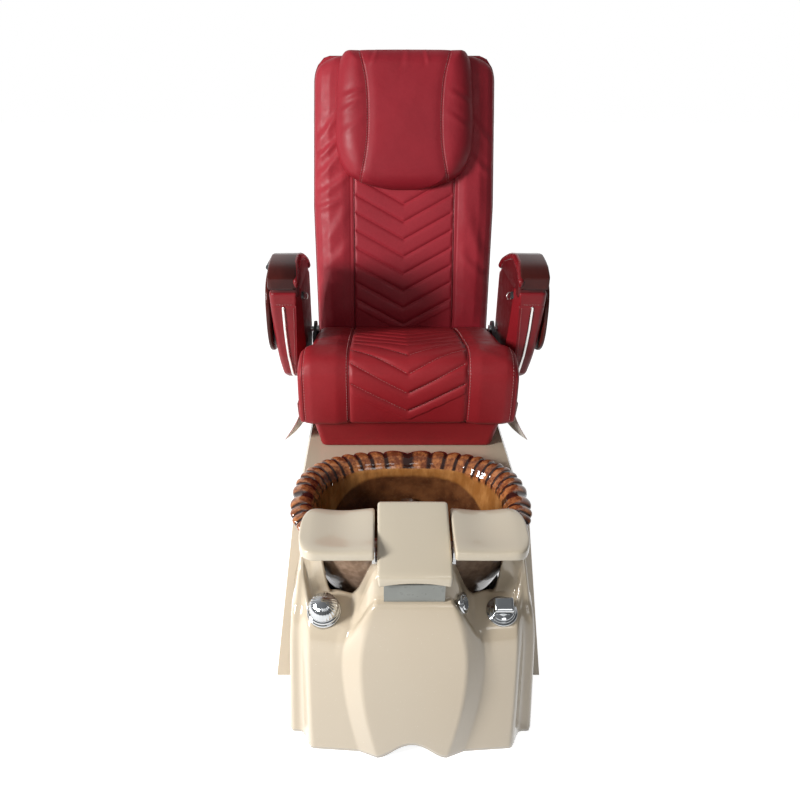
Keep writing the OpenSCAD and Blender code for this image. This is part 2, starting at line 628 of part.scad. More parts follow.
// Half length of a side pad at share u of its width, rounded off at the outer end
function side_pad_half(u) = side_pad_l / 2 * pow(max(0, 1 - pow(max(0, (u - 0.6) / 0.4), 2.6)), 0.45);
side_pad_steps = [[0, 0.88], [0.03, 0.99], [0.2, 1], [0.42, 1], [0.64, 1], [0.82, 1], [0.93, 0.98],
    [0.985, 0.9]];
module side_pad() color([0.89, 0.81, 0.68]) placed() translate([side_pad_x, side_pad_y, pads_z])
    skin([for (k = side_pad_steps) let (u = k[0], e = k[1], half = side_pad_half(u))
        [for (p = oval(1, 1, 4, 24)) let (y = side_pad_l / 2 + half * p[0] * e,
            v = y / side_pad_l, thick = side_pad_t * (0.72 + 0.28 * smooth(v) - 0.12 * sin(180 * v)
                - 0.1 * sin(180 * u)))
            [u * side_pad_w, y, thick * (0.5 + 0.5 * p[1] * (p[1] > 0 ? e : 1))
                - side_lip * (1 - smooth((y - 6) / 10)) * (0.5 - 0.5 * p[1])]]]);
module side_pad_left() side_pad();
module side_pad_right() mirror([1, 0, 0]) side_pad();

// Middle pad in its own slope: top face on z = 0, front edge on y = 0
foot_edge = [bowl_y0 - 72, rim_z + rim_h];
module on_slope() placed() translate([0, foot_edge[0], foot_edge[1]]) rotate([pad_slope, 0, 0]) children();
pad_base_t = pad_t - 10;
function pad_under(x, y) = -(pad_base_t + (1 - smooth((y - 3) / 10))
    * (7 + (pad_t + 4 - pad_base_t) * pow(2 * x / pad_w, 2)));
module footrest_pad() color([0.89, 0.81, 0.68]) on_slope()
    skin([for (k = [[-1, 0.9], [-0.97, 1], [-0.75, 1], [-0.4, 1], [0, 1], [0.4, 1], [0.75, 1], [0.97, 1], [1, 0.9]])
        let (x = k[0] * pad_w / 2)
        [for (p = oval(1, 1, 4.5, 24)) let (y = pad_l / 2 * (1 + p[0] * k[1]), t = pad_under(x, y),
            crown = -2.5 * sin(180 * y / pad_l))
            [x, y, mix(t, crown, 0.5 + 0.5 * p[1] * (p[1] > 0 ? k[1] : 1))]]]);

// The hinge of the middle pad, in the slope's frame and in the builder's
hinge_drop = 36;
hinge_in = 23;
hinge_y = foot_edge[0] + hinge_in * cos(pad_slope) + hinge_drop * sin(pad_slope);
hinge_z = foot_edge[1] + hinge_in * sin(pad_slope) - hinge_drop * cos(pad_slope);
lug_r = foot_pin_r + 3.5;
ear_x = 53;
ear_t = 6;
module footrest_plate() color("silver") on_slope() difference() {
    union() {
        translate([-pad_w / 2 + 16, 27, -pad_base_t - air - 4.5]) cube([pad_w - 32, 40, 4.5]);
        for (x = [-ear_x, ear_x]) translate([x - ear_t / 2, hinge_in, -hinge_drop]) {
            rotate([0, 90, 0]) cylinder(h = ear_t, r = lug_r);
            translate([0, -lug_r, 0]) cube([ear_t, 2 * lug_r, hinge_drop - pad_base_t - air]);
        }
    }
    pin_x(-60, 60, foot_pin_r + fit, hinge_in, -hinge_drop);
}
slider_y = hinge_y - 11;
tongue_w = 64;
tongue_t = 12;
module footrest_slider() color("silver") placed() difference() {
    union() {
        translate([-tongue_w / 2, slider_y, box_z0 - 90])
            cube([tongue_w, tongue_t, box_z1 - box_z0 + 90 + air + 2]);
        translate([0, slider_y - 4, box_z1 + air]) linear_extrude(4)
            polygon(rounded([-49, 0], [49, 26], 8));
        pin_x(-ear_x + ear_t / 2 + air, ear_x - ear_t / 2 - air, lug_r, hinge_y, hinge_z);
        translate([-ear_x + ear_t / 2 + air, hinge_y - 6, box_z1 + air])
            cube([2 * (ear_x - ear_t / 2 - air), 12, hinge_z - box_z1 - air]);
    }
    pin_x(-60, 60, foot_pin_r + fit, hinge_y, hinge_z);
    for (z = [box_z0 - 70, box_z0 - 40, box_z0 - 10]) translate([0, slider_y - 1, z]) rotate([-90, 0, 0])
        cylinder(h = 20, r = 7);
}
module footrest_pin() color([0.6, 0.6, 0.6]) placed() {
    pin_x(-ear_x - ear_t / 2 - 5, ear_x + ear_t / 2 + 5, foot_pin_r, hinge_y, hinge_z);
    for (x = [-ear_x - ear_t / 2 - 4, ear_x + ear_t / 2 + 1]) pin_x(x, x + 3, foot_pin_r + 3, hinge_y, hinge_z);
}
module footrest_guide() color([0.55, 0.55, 0.54]) placed() difference() {
    translate([-box_half, box_y0, box_z0]) cube([2 * box_half, box_y1 - box_y0, box_z1 - box_z0]);
    translate([-tongue_w / 2 - air, slider_y - air, box_z0 - 40])
        cube([tongue_w + 2 * air, tongue_t + 2 * air, 100]);
}
module pad_brackets() color("silver") placed() both_sides() {
    bracket_w = 18;
    y0 = bowl_y0 - bracket_w;
    foot_z = deck_z;
    for (k = [[box_half + 1.5, box_half + 12, foot_z, foot_z + 6], [box_half + 1.5, side_pad_x + 6, foot_z + 1, foot_z + 6],
        [side_pad_x, side_pad_x + 6, foot_z + 1, pads_z - air], [side_pad_x, side_pad_x + side_pad_w - 22, pads_z - 9, pads_z - air]])
        translate([k[0], y0, k[2]]) cube([k[1] - k[0], bracket_w, k[3] - k[2]]);
}

// ---- Seat carriage ----

rail_x = 150;
rail_w = 44;
rail_h = 20;
rail_y0 = seat_y + 217;
rail_y1 = base_l - 24;
runner_y0 = rail_y0 + 10;
runner_l = 110;
frame_z = deck_z + 35;
frame_tube = 40;
board_z = deck_z + seat_rise;
cushion_z = board_z + board_t + air;
module slide_rails() color([0.45, 0.46, 0.48]) placed() both_sides()
    translate([rail_x, rail_y1, deck_z]) rotate([90, 0, 0]) linear_extrude(rail_y1 - rail_y0) difference() {
        translate([-rail_w / 2, 0]) square([rail_w, rail_h]);
        translate([-rail_w / 2 + 3, 3]) square([rail_w - 6, rail_h - 6]);
        translate([-10, 3]) square([20, rail_h]);
    }
module slide_runners() color([0.85, 0.85, 0.82]) placed() both_sides()
    translate([rail_x, runner_y0 + runner_l, deck_z]) rotate([90, 0, 0]) linear_extrude(runner_l) {
        translate([-rail_w / 2 + 3 + air, 3 + air]) square([rail_w - 6 - 2 * air, rail_h - 6 - 2 * air]);
        translate([-10 + air, 6]) square([20 - 2 * air, frame_z - deck_z - 6]);
    }
module seat_frame() color([0.22, 0.23, 0.25]) placed() {
    both_sides() translate([rail_x - frame_tube / 2, seat_y + 52, frame_z]) difference() {
        cube([frame_tube, seat_l - 66, board_z - frame_z]);
        translate([3, -1, 3]) cube([frame_tube - 6, seat_l, board_z - frame_z - 6]);
    }
    for (k = [[seat_y + 72, 200], [plate_y0 + 10, plate_x0], [seat_y + seat_l - 54, plate_x0]])
        for (x = [[-k[1], -rail_x - frame_tube / 2], [-rail_x + frame_tube / 2, rail_x - frame_tube / 2],
            [rail_x + frame_tube / 2, k[1]]])
            translate([x[0], k[0], frame_z + 4]) cube([x[1] - x[0], 32, board_z - frame_z - 4]);
}
rod_r = 6;
rod_z = deck_z + 20;
actuator_y1 = base_l - 14;
motor_l = 34;
barrel_l = slide_travel + 46;
barrel_y0 = actuator_y1 - motor_l - barrel_l;
lug_y = seat_y + 82;
module slide_actuator() color([0.3, 0.31, 0.33]) placed() difference() {
    union() {
        translate([0, barrel_y0, rod_z]) rotate([-90, 0, 0]) cylinder(h = barrel_l + 2, r = 14);
        for (y = [barrel_y0 + 16, actuator_y1 - motor_l - 30]) translate([-22, y, deck_z]) cube([44, 14, 20]);
        translate([-24, actuator_y1 - motor_l, deck_z]) cube([48, motor_l, 36]);
    }
    translate([0, barrel_y0 - 1, rod_z]) rotate([-90, 0, 0]) cylinder(h = barrel_l - 2, r = rod_r + fit);
}
module actuator_rod() color("silver") placed() {
    translate([0, lug_y, rod_z]) rotate([-90, 0, 0]) cylinder(h = barrel_y0 + 36 - lug_y, r = rod_r);
    translate([-9, lug_y, rod_z - 9]) cube([18, 14, frame_z + 4 - air - rod_z + 9]);
}
module seat_board() color([0.72, 0.56, 0.36]) placed() difference() {
    translate([0, seat_y + 28, board_z]) linear_extrude(board_t)
        polygon(rounded([-236, 0], [236, seat_l - 38], 30));
    for (x = [-120, 0, 120]) for (y = [seat_y + 130, seat_y + 300]) translate([x, y, board_z - 1])
        cylinder(h = board_t + 2, r = 18);
}

// Seat cushion: the side profile as (y, z) from the lower front edge over the crest to the rear
bolster_l = 96;
crest_z = cushion_z + seat_h - 4;
seat_profile = [[seat_y + 12, cushion_z], [seat_y + 2, cushion_z + 16], [seat_y - 2, cushion_z + 68],
    [seat_y, cushion_z + 128], [seat_y + 8, crest_z - 28], [seat_y + 27, crest_z - 6],
    [seat_y + 60, crest_z], [seat_y + 96, crest_z - 2], [seat_y + 152, crest_z - 15],
    [seat_y + 302, crest_z - 15 - 0.36 * seat_fall], [seat_y + seat_l - 14, crest_z - seat_fall - 2],
    [seat_y + seat_l, crest_z - seat_fall - 14]];
function run(path, i = 1, sofar = 0) = i >= len(path) ? [sofar]
    : concat([sofar], run(path, i + 1, sofar + norm(path[i] - path[i - 1])));
seat_run = run(seat_profile);
seat_length = seat_run[len(seat_run) - 1];
function along(path, runs, s, k) = lookup(s, [for (i = [0:len(path) - 1]) [runs[i], path[i][k]]]);
chevron_rise = 0.55 * insert_w / 2;
first_chevron = 14;
seat_rows = floor((seat_length - first_chevron) / chevron_pitch * 2);
seat_cols = [0, 0.5, 0.96, 1.04, 1.4, 1.72, 1.84];
function seat_half(y) = mix(seat_w / 2, seat_rear_w / 2, smooth((y - seat_y - bolster_l + 12) / 20));
function seat_point(col, k) = let (in = insert_w / 2, x = col * in,
        start = first_chevron + chevron_pitch / 2 + chevron_rise * min(1, col),
        s = k == 0 ? 0 : mix(start, seat_length, (k - 1) / (seat_rows - 1)),
        y = along(seat_profile, seat_run, s, 0), z = along(seat_profile, seat_run, s, 1),
        full = seat_half(y), edge = (col - 1.4) / 0.44,
        wide = col > 1 ? mix(in * 1.04, full, (x / in - 1.04) / 0.8) : x,
        sink = (col < 1 && k % 2 == 1 ? channel_d : 0) + (abs(col - 1) < 0.1 && col > 1 ? 2 : 0)
            + (col > 1.4 ? 14 * pow(edge, 2) : 0),
        front = clamp((seat_y + 40 - y) / 40, 0, 1))
    [wide, y + sink * front, k == 0 ? cushion_z + 6 : z - sink * (1 - front)];
function seat_loop(col, side) = let (top = [for (k = [0:seat_rows]) seat_point(col, k)],
        under = [for (k = [seat_rows:-1:0])
            [top[k][0] - (col > 1.7 ? 8 : 0), seat_y + mix(34, seat_l - 12, k / seat_rows), cushion_z]])
    [for (p = concat(top, under)) [side * p[0], p[1], p[2]]];
module seat_cushion() color([0.20, 0.03, 0.05]) placed()
    skin(concat([for (c = backwards(seat_cols)) seat_loop(c, 1)],
        [for (i = [1:len(seat_cols) - 1]) seat_loop(seat_cols[i], -1)]), "ladder");

// A sheet folded round the front and both sides, rounded in front, open behind
function skirt_outline(half, front, rear, r, z) = concat([[half, rear, z], [-half, rear, z]],
    [for (i = [0:4]) [-half + r - r * cos(22.5 * i), front + r - r * sin(22.5 * i), z]],
    [for (i = [0:4]) [half - r + r * sin(22.5 * i), front + r - r * cos(22.5 * i), z]]);
skirt_t = 3;
skirt_z0 = deck_z + 2.5;
skirt_r = 16;
module seat_skirt() color([0.70, 0.68, 0.64]) placed() difference() {
    skin([skirt_outline(226, seat_y + 44, plate_y0, skirt_r, skirt_z0),
        skirt_outline(243, seat_y + 22, plate_y0, skirt_r, cushion_z - air)]);
    skin([skirt_outline(226 - skirt_t, seat_y + 44 + skirt_t, plate_y0 + 20, skirt_r - skirt_t, skirt_z0 - 1),
        skirt_outline(243 - skirt_t, seat_y + 22 + skirt_t, plate_y0 + 20, skirt_r - skirt_t, cushion_z + 1)]);
}

plate_t = 8;
plate_x0 = seat_rear_w / 2 + 1;
plate_y0 = seat_y + 232;
cover_t = 3;
cover_x = plate_x0 + plate_t + air;
cover_flare = 48;
cover_top = [[0, 70], [0.25, 56], [0.45, 50], [1, 40]];
function cover_point(u, v, inset) = let (front = seat_y + 12 + 72 * u,
        beside_bolster = (seat_w / 2 + 1.5 - cover_x) * (1 - smooth((v - 0.12) / 0.4)),
        curl = mix(0.3, 1, pow(1 - min(1, v / 0.36), 2)),
        flare = max(beside_bolster, cover_flare * pow(u, 1.5) * curl))
    [cover_x + flare + inset, mix(front, seat_y + seat_l - 4, v),
        mix(board_z + lookup(v, cover_top), deck_z + 5, u)];
module side_cover() color([0.45, 0.05, 0.07]) placed()
    skin([for (v = [0, 0.06, 0.12, 0.18, 0.25, 0.33, 0.45, 0.6, 0.8, 1]) concat(
        [for (u = [0:0.2:1]) cover_point(1 - u, v, 0)], [for (u = [0:0.2:1]) cover_point(u, v, cover_t)])],
        "ladder");
module side_cover_left() side_cover();
module side_cover_right() mirror([1, 0, 0]) side_cover();

arm_pivot = [seat_y + seat_l - 79, board_z + 130];
back_pivot = [seat_y + seat_l + 41, board_z + 55];
module hinge_plates() color([0.30, 0.31, 0.33]) placed() both_sides() difference() {
    plate_x(plate_x0, plate_x0 + plate_t, concat(
        [[plate_y0, frame_z], [seat_y + seat_l - 14, frame_z]],
        [for (a = [-50:20:70]) back_pivot + 20 * [cos(a), sin(a)]],
        [[seat_y + seat_l - 14, board_z + 78]],
        [for (a = [10:20:150]) arm_pivot + 24 * [cos(a), sin(a)]],
        [[plate_y0, board_z + 40]]));
    pin_x(0, 400, arm_pin_r + fit, arm_pivot[0], arm_pivot[1]);
    pin_x(0, 400, recline_pin_r + fit, back_pivot[0], back_pivot[1]);
    pin_x(0, 400, 26, plate_y0 + 90, frame_z + 54);
}
ear_x0 = 236;
ear_x1 = 247;
module recline_pins() color([0.6, 0.6, 0.6]) placed() both_sides() {
    pin_x(ear_x0 - 4, plate_x0 + plate_t + 12, recline_pin_r, back_pivot[0], back_pivot[1]);
    pin_x(ear_x0 - 6, ear_x0 - air, recline_pin_r + 4, back_pivot[0], back_pivot[1]);
    pin_x(ear_x1 + air, plate_x0 - air, recline_pin_r + 3, back_pivot[0], back_pivot[1]);
    pin_x(plate_x0 - 6, arm_x0 + 29, arm_pin_r, arm_pivot[0], arm_pivot[1]);
    pin_x(plate_x0 - 6, plate_x0 - air, arm_pin_r + 4, arm_pivot[0], arm_pivot[1]);
}
module recline_hubs() color([0.12, 0.12, 0.13]) placed() both_sides() difference() {
    union() {
        pin_x(plate_x0 + plate_t + air, plate_x0 + plate_t + 14, 28, back_pivot[0], back_pivot[1]);
        pin_x(plate_x0 + plate_t + 13, plate_x0 + plate_t + 18, 22, back_pivot[0], back_pivot[1]);
    }
    pin_x(0, plate_x0 + plate_t + 13, recline_pin_r + fit, back_pivot[0], back_pivot[1]);
}

// ---- Backrest, in its own frame: front face on y = 0, foot on z = 0 ----

back_foot = [seat_y + seat_l + 5, board_z + 78];
module on_back() placed() translate([0, back_foot[0], back_foot[1]]) rotate([-back_lean, 0, 0]) children();
function from_foot(p) = let (d = p - back_foot)
    [d[0] * cos(back_lean) - d[1] * sin(back_lean), d[0] * sin(back_lean) + d[1] * cos(back_lean)];
ear_pivot = from_foot(back_pivot);
back_corner = 70;
function back_half(z) = lookup(z / back_l, [[0, back_foot_w / 2], [0.48, back_w / 2], [0.75, back_w / 2 - 5],
        [1, back_w / 2 - 10]])
    - back_corner * 0.6 * (1 - sqrt(1 - pow(max(0, (z - back_l + back_corner) / back_corner), 2)));
// Front outline of the rear cover as (x, z), drawn in by inset
function back_outline(inset, n = 9) = let (half = [for (i = [0:n]) let (z = back_l * (1 - cos(180 * i / n)) / 2)
        [back_half(z) - inset - 8 * (i == 0 ? 1 : 0), mix(5 + inset, back_l - 5 - inset, z / back_l)]])
    concat(half, [for (p = backwards(half)) [-p[0], p[1]]]);
shell_layers = [[0, 4], [0.45, 6], [0.78, 16], [0.94, 38], [1, 80]];
module back_pan(inset, y0, y1) skin([for (k = backwards(shell_layers))
    [for (p = back_outline(k[1] + inset)) [p[0], mix(y0, y1, k[0]), p[1]]]]);
back_frame_t = 20;
module back_shell() color([0.33, 0.04, 0.06]) on_back() difference() {
    back_pan(0, back_t + air, back_t + back_shell_d);
    back_pan(4, back_t - 2, back_t + back_shell_d - 4);
    both_sides() translate([ear_x0 - 2, back_t - 5, -10]) cube([ear_x1 - ear_x0 + 4, back_frame_t + 20, 55]);
}
module back_frame() color([0.22, 0.23, 0.25]) on_back() difference() {
    union() {
        translate([0, back_t + air + back_frame_t, 0]) rotate([90, 0, 0]) linear_extrude(back_frame_t) difference() {
            polygon(rounded([-ear_x0, 22], [ear_x0, back_l - 45], 50));
            polygon(rounded([-ear_x0 + 30, 50], [ear_x0 - 30, back_l - 75], 40));
        }
        for (k = [0.237, 0.473, 0.71]) translate([-ear_x0 + 20, back_t + air + 2, k * back_l - 15])
            cube([2 * ear_x0 - 40, back_frame_t - 4, 30]);
        both_sides() plate_x(ear_x0 - 2, ear_x1, concat(
            [[back_t + air, 120], [back_t + air, 0]],
            [for (a = [150:20:330]) ear_pivot + 17 * [cos(a), sin(a)]],
            [[back_t + air + back_frame_t, 0], [back_t + air + back_frame_t, 120]]));
    }
    pin_x(-400, 400, recline_pin_r + fit, ear_pivot[0], ear_pivot[1]);
    both_sides() pin_x(0, ear_x0, recline_pin_r + 6, ear_pivot[0], ear_pivot[1]);
}

// Back cushion: rows of points that follow the sewn chevrons, as [height of the apex, rise, in channel]
back_crown = 12;
chevron_z0 = 33;
chevrons = 8;
back_rise = 81;
back_rows = concat([[0, 0, 0]],
    [for (i = [0:2 * chevrons]) [chevron_z0 + i * chevron_pitch / 2, back_rise * min(1, (i + 1) / 3), (i + 1) % 2]],
    [[470, 66, 0], [525, 40, 0], [600, 10, 0], [back_l - 123, 0, 0], [back_l - 63, 0, 0],
        [back_l - 28, 0, 0], [back_l - 6, 0, 0], [back_l, 0, 0]]);
back_cols = [0, 0.5, 0.97, 1.05, 1.35];
back_sides = [[0.96, 4], [1, 22], [0.995, 50], [0.96, 70]];
function back_point(x, y, row) = [x, y, min(row[0] + row[1] * min(1, abs(x) / (insert_w / 2)), back_l)];
function back_half_ring(row) = let (in = insert_w / 2, half = back_half(row[0]),
        end = max(0, 1 - min(row[0], back_l - row[0]) / 14),
        crown = back_crown * smooth(row[0] / 80) * (1 - end * end))
    concat([for (c = back_cols) let (x = c * in, flat = 1 - pow(x / half, 4))
        back_point(x, -crown * flat + (c < 1 ? row[2] * channel_d : c < 1.1 ? 2 : 0), row)],
        [for (e = back_sides) back_point(half * e[0] - 8 * end, mix(e[1], 35, end * 0.3), row)]);
module back_cushion() color([0.30, 0.03, 0.05]) on_back()
    skin([for (row = back_rows) let (half = back_half_ring(row))
        concat([for (p = half) p], [for (i = [len(half) - 1:-1:1]) [-half[i][0], half[i][1], half[i][2]]])]);

// Head pillow: rings from its lower edge up, as [height share, half width share, thickness share]
pillow_z0 = back_l - pillow_l;
pillow_rows = [[0, 0.42, 0.3], [0.012, 0.62, 0.55], [0.05, 0.76, 0.8], [0.12, 0.86, 0.95], [0.26, 0.95, 1],
    [0.45, 0.99, 1], [0.62, 1, 1], [0.8, 0.97, 0.95], [0.92, 0.93, 0.85], [0.98, 0.9, 0.62], [1, 0.86, 0.4]];
flap_t = 5;
module head_pillow() color([0.32, 0.03, 0.05]) on_back() {
    skin([for (k = pillow_rows) [for (p = oval(pillow_w / 2 * k[1], 1, 2.6, 24))
        [p[0], -back_crown - air - 0.5 - pillow_t * k[2] * (0.5 - 0.5 * p[1]), pillow_z0 + k[0] * pillow_l]]]);
    plate_x(-pillow_w * 0.36, pillow_w * 0.36, [[-back_crown - 12, back_l - 14], [-back_crown - 1, back_l - 30],
        [-back_crown - 1, back_l + air], [back_t + back_shell_d + 1, back_l + air],
        [back_t + back_shell_d + 1, back_l - 90], [back_t + back_shell_d + 1 + flap_t, back_l - 90],
        [back_t + back_shell_d + 1 + flap_t, back_l + air + flap_t], [-back_crown - 8, back_l + air + flap_t]]);
}

// ---- Arms ----

arm_x0 = arm_gap_w / 2;
arm_x1 = arm_x0 + arm_w;
arm_top = board_z + arm_rise - 67;
arm_front_y = [[-285, 134], [-278, 118], [-262, 100], [-195, 66], [-108, 36], [-25, 14], [0, 10]];
arm_rear_y = [[-285, 152], [-262, 276], [-215, 311], [-60, 309], [-33, 306], [0, 256]];
arm_inner_x = [[-285, 29], [-200, 22], [-108, 15], [0, 8]];
arm_outer_x = [[-285, -33], [-267, -26], [-225, -14], [-150, -4], [-60, 0], [0, 0]];
function arm_front(z) = arm_y + lookup(z - arm_top, arm_front_y);
function arm_rear(z) = arm_y + lookup(z - arm_top, arm_rear_y);
// Plan outline of the arm at height z, with the inner front corner chamfered
function arm_ring(z) = let (f = arm_front(z), b = arm_rear(z), xi = arm_x0 + lookup(z - arm_top, arm_inner_x),
        xo = arm_x1 + lookup(z - arm_top, arm_outer_x), r = min(14, (b - f) / 3, (xo - xi) / 2.5))
    concat([[xi, f + 3, z], [xi + 3, f, z]],
        [for (a = [-90:30:0]) [xo - r + r * cos(a), f + r + r * sin(a), z]],
        [for (a = [0:30:90]) [xo - r + r * cos(a), b - r + r * sin(a), z]],
        [[arm_x0 + 4, b, z], [arm_x0, b - 4, z], [arm_x0, min(f + 38, b - 6), z]]);
arm_levels = [-285, -278, -262, -245, -215, -195, -150, -108, -60, -25, 0];
module arm_body() color([0.30, 0.03, 0.05]) placed() difference() {
    skin([for (z = arm_levels) arm_ring(arm_top + z)]);
    pin_x(arm_x0 - 10, arm_x0 + 30, arm_pin_r + fit, arm_pivot[0], arm_pivot[1]);
    pin_x(arm_x0 - 10, arm_x0 + 22, latch_r + air, arm_y + latch_in, arm_top - latch_down);
}
module arm_body_left() arm_body();
module arm_body_right() mirror([1, 0, 0]) arm_body();

cap_crest = [[0, 45], [36, 65], [86, 74], [116, 73], [176, 58], [266, 23], [arm_l, -6]];
cap_rows = [[arm_l, 0.8], [arm_l - 4, 1], [arm_l - 26, 1], [256, 1], [216, 1], [176, 1], [130, 1], [86, 1],
    [44, 1], [16, 1], [4, 0.97], [0, 0.86]];
function cap_under(y) = lookup(y, [[0, cap_t * 0.32], [9, 0.2], [258, 0.2], [arm_l, -33]]) + air;
module arm_cap() color([0.22, 0.04, 0.05]) placed() translate([(arm_x0 + arm_x1) / 2, arm_y, arm_top])
    skin([for (k = cap_rows) let (low = cap_under(k[0]), high = lookup(k[0], cap_crest) + 1)
        [for (p = oval(arm_w / 2 * k[1], 1, 3, 24))
            [p[0], k[0], low + (high - low) * (0.5 + 0.5 * (p[1] > 0 ? p[1] * k[1] : p[1]))]]]);
module arm_cap_left() arm_cap();
module arm_cap_right() mirror([1, 0, 0]) arm_cap();

trim_path = [[-35, 54, 5], [-60, 54, 5], [-108, 53, 5], [-150, 51, 5], [-195, 48, 4.5], [-225, 44, 4]];
module arm_trim() color([0.85, 0.84, 0.82]) placed()
    skin([for (k = backwards(trim_path)) let (z = arm_top + k[0], y = arm_front(z) - air, x = arm_x0 + k[1])
        [[x - k[2], y - 2.5, z], [x + k[2], y - 2.5, z], [x + k[2], y, z], [x - k[2], y, z]]]);
module arm_trim_left() arm_trim();
module arm_trim_right() mirror([1, 0, 0]) arm_trim();

latch_r = 10;
latch_in = 60;
latch_down = 22;
module arm_latch() color("silver") placed() translate([0, arm_y + latch_in, arm_top - latch_down]) difference() {
    union() {
        pin_x(arm_x0 - 4, arm_x0 + 12, latch_r, 0, 0);
        pin_x(arm_x0 + 11, arm_x0 + 20, 5, 0, 0);
    }
    pin_x(arm_x0 - 5, arm_x0 + 2, latch_r - 4, 0, 0);
}
module arm_latch_left() arm_latch();
module arm_latch_right() mirror([1, 0, 0]) arm_latch();

tray_y = arm_y + 143;
tray_x = arm_x1 + 4;
knuckle_r = 7;
tray_pin_r = 4;
tray_axis = [tray_x + tray_t / 2, arm_top + 39];
tray_drop = 9;
knuckle_l = 40;
module pin_y(y0, y1, r) translate([tray_axis[0], y0, tray_axis[1]]) rotate([-90, 0, 0]) cylinder(h = y1 - y0, r = r);
module tray() color([0.24, 0.04, 0.05]) placed() difference() {
    union() {
        translate([tray_x, tray_y, tray_axis[1] - tray_drop - tray_h / 2]) rotate([90, 0, 90])
            linear_extrude(tray_t) polygon(oval(tray_l / 2, tray_h / 2, 2.6, 48));
        pin_y(tray_y - knuckle_l / 2 + air, tray_y + knuckle_l / 2 - air, knuckle_r);
        translate([tray_x + 1, tray_y - knuckle_l / 2 + air, tray_axis[1] - 20])
            cube([tray_t - 2, knuckle_l - 2 * air, 16]);
    }
    pin_y(tray_y - 60, tray_y + 60, tray_pin_r + fit);
    translate([tray_x + tray_t - 4, tray_y, tray_axis[1] - tray_drop - tray_h / 2]) rotate([90, 0, 90])
        linear_extrude(10) polygon(oval(tray_l / 2 - 9, tray_h / 2 - 26, 2.6, 48));
}
module tray_left() tray();
module tray_right() mirror([1, 0, 0]) tray();
module tray_hinge() color("silver") placed() difference() {
    union() {
        for (y = [tray_y - knuckle_l / 2 - 20, tray_y + knuckle_l / 2]) {
            pin_y(y, y + 20, knuckle_r);
            translate([arm_x1 + air, y, arm_top - 40]) cube([2.7, 20, 79]);
            translate([arm_x1 + air, y, tray_axis[1] - 3]) cube([knuckle_r + 3, 20, 6]);
        }
        pin_y(tray_y - knuckle_l / 2 - 19, tray_y + knuckle_l / 2 + 19, tray_pin_r);
        translate([arm_x1 + air, tray_y - knuckle_l / 2 - 20, arm_top - 40]) cube([2.7, knuckle_l + 40, 34]);
    }
    for (y = [-28, 28]) translate([arm_x1 - 5, tray_y + y, arm_top - 22]) rotate([0, 90, 0])
        cylinder(h = 20, r = 2.5, $fn = 20);
}
module tray_hinge_left() tray_hinge();
module tray_hinge_right() mirror([1, 0, 0]) tray_hinge();

base_shell();
front_apron();
chassis_frame();
floor_pads();
service_panel();
panel_screws();
water_inlets();
power_inlet();
glass_bowl();
bowl_gasket();
drain_strainer();
drain_trap();
jet_cover();
jet_impeller();
jet_motor();
mixer_flange();
mixer_knob();
mixer_valve();
diverter_flange();
diverter_lever();
diverter_valve();
switch_bezel();
switch_button();
side_pad_left();
side_pad_right();
pad_brackets();
footrest_guide();
footrest_slider();
footrest_pin();
footrest_plate();
footrest_pad();
slide_rails();
slide_actuator();
actuator_rod();
slide_runners();
seat_frame();
seat_board();
seat_cushion();
seat_skirt();
side_cover_left();
side_cover_right();
hinge_plates();
recline_pins();
recline_hubs();
back_frame();
back_cushion();
back_shell();
head_pillow();
arm_cap_left();
arm_cap_right();
arm_body_left();
arm_body_right();
arm_trim_left();
arm_trim_right();
arm_latch_left();
arm_latch_right();
tray_hinge_left();
tray_hinge_right();
tray_left();
tray_right();
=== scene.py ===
"""Looks of a pedicure spa chair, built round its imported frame.

Sizes are in millimetres in the builder's frame, where y = 0 is the line of the front toes, and to_world
turns them into the row frame's metres. Every form repeats the sizes of the CAD node that it stands for.
"""
import json
import math

import bpy
import numpy as np
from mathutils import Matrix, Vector, noise


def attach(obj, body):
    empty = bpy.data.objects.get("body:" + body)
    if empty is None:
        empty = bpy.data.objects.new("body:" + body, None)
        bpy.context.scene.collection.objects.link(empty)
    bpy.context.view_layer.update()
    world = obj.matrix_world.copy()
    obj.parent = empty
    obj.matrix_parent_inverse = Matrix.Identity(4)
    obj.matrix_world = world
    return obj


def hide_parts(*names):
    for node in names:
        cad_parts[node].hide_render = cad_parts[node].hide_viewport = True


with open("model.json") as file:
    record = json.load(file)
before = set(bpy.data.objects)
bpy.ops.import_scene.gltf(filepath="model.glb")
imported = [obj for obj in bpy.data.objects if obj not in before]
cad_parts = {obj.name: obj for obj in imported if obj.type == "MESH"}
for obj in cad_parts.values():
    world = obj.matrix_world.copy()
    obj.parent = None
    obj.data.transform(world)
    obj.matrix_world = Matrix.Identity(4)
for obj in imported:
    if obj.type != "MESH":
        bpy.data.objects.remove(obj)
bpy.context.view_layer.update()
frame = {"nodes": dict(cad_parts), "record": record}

# ---------------------------------------------------------------- numbers and shapes

BASE_L = 1060
MM = 0.001


def to_world(p):
    """Points in the builder's frame, in millimetres, to the row frame, in metres."""
    return (np.asarray(p, float) - [0, BASE_L / 2, 0]) * MM


def smooth(t):
    t = np.clip(t, 0, 1)
    return t * t * (3 - 2 * t)


def mix(a, b, t):
    return a + (b - a) * t


def bump(t, width):
    """A soft ridge of height 1 at t = 0."""
    return np.exp(-((t / width) ** 2))


def dome(t):
    """Height of a quarter round: upright at t = 0 and level at t = 1."""
    return np.sqrt(np.clip(1 - (1 - np.clip(t, 0, 1)) ** 2, 0, 1))


def lookup(x, pairs):
    return np.interp(x, [p[0] for p in pairs], [p[1] for p in pairs])


def edge_steps(radius, n=9):
    """Distances from an edge that are close together where a rounded edge turns."""
    return radius * (1 - np.cos(np.linspace(0, np.pi / 2, n)))


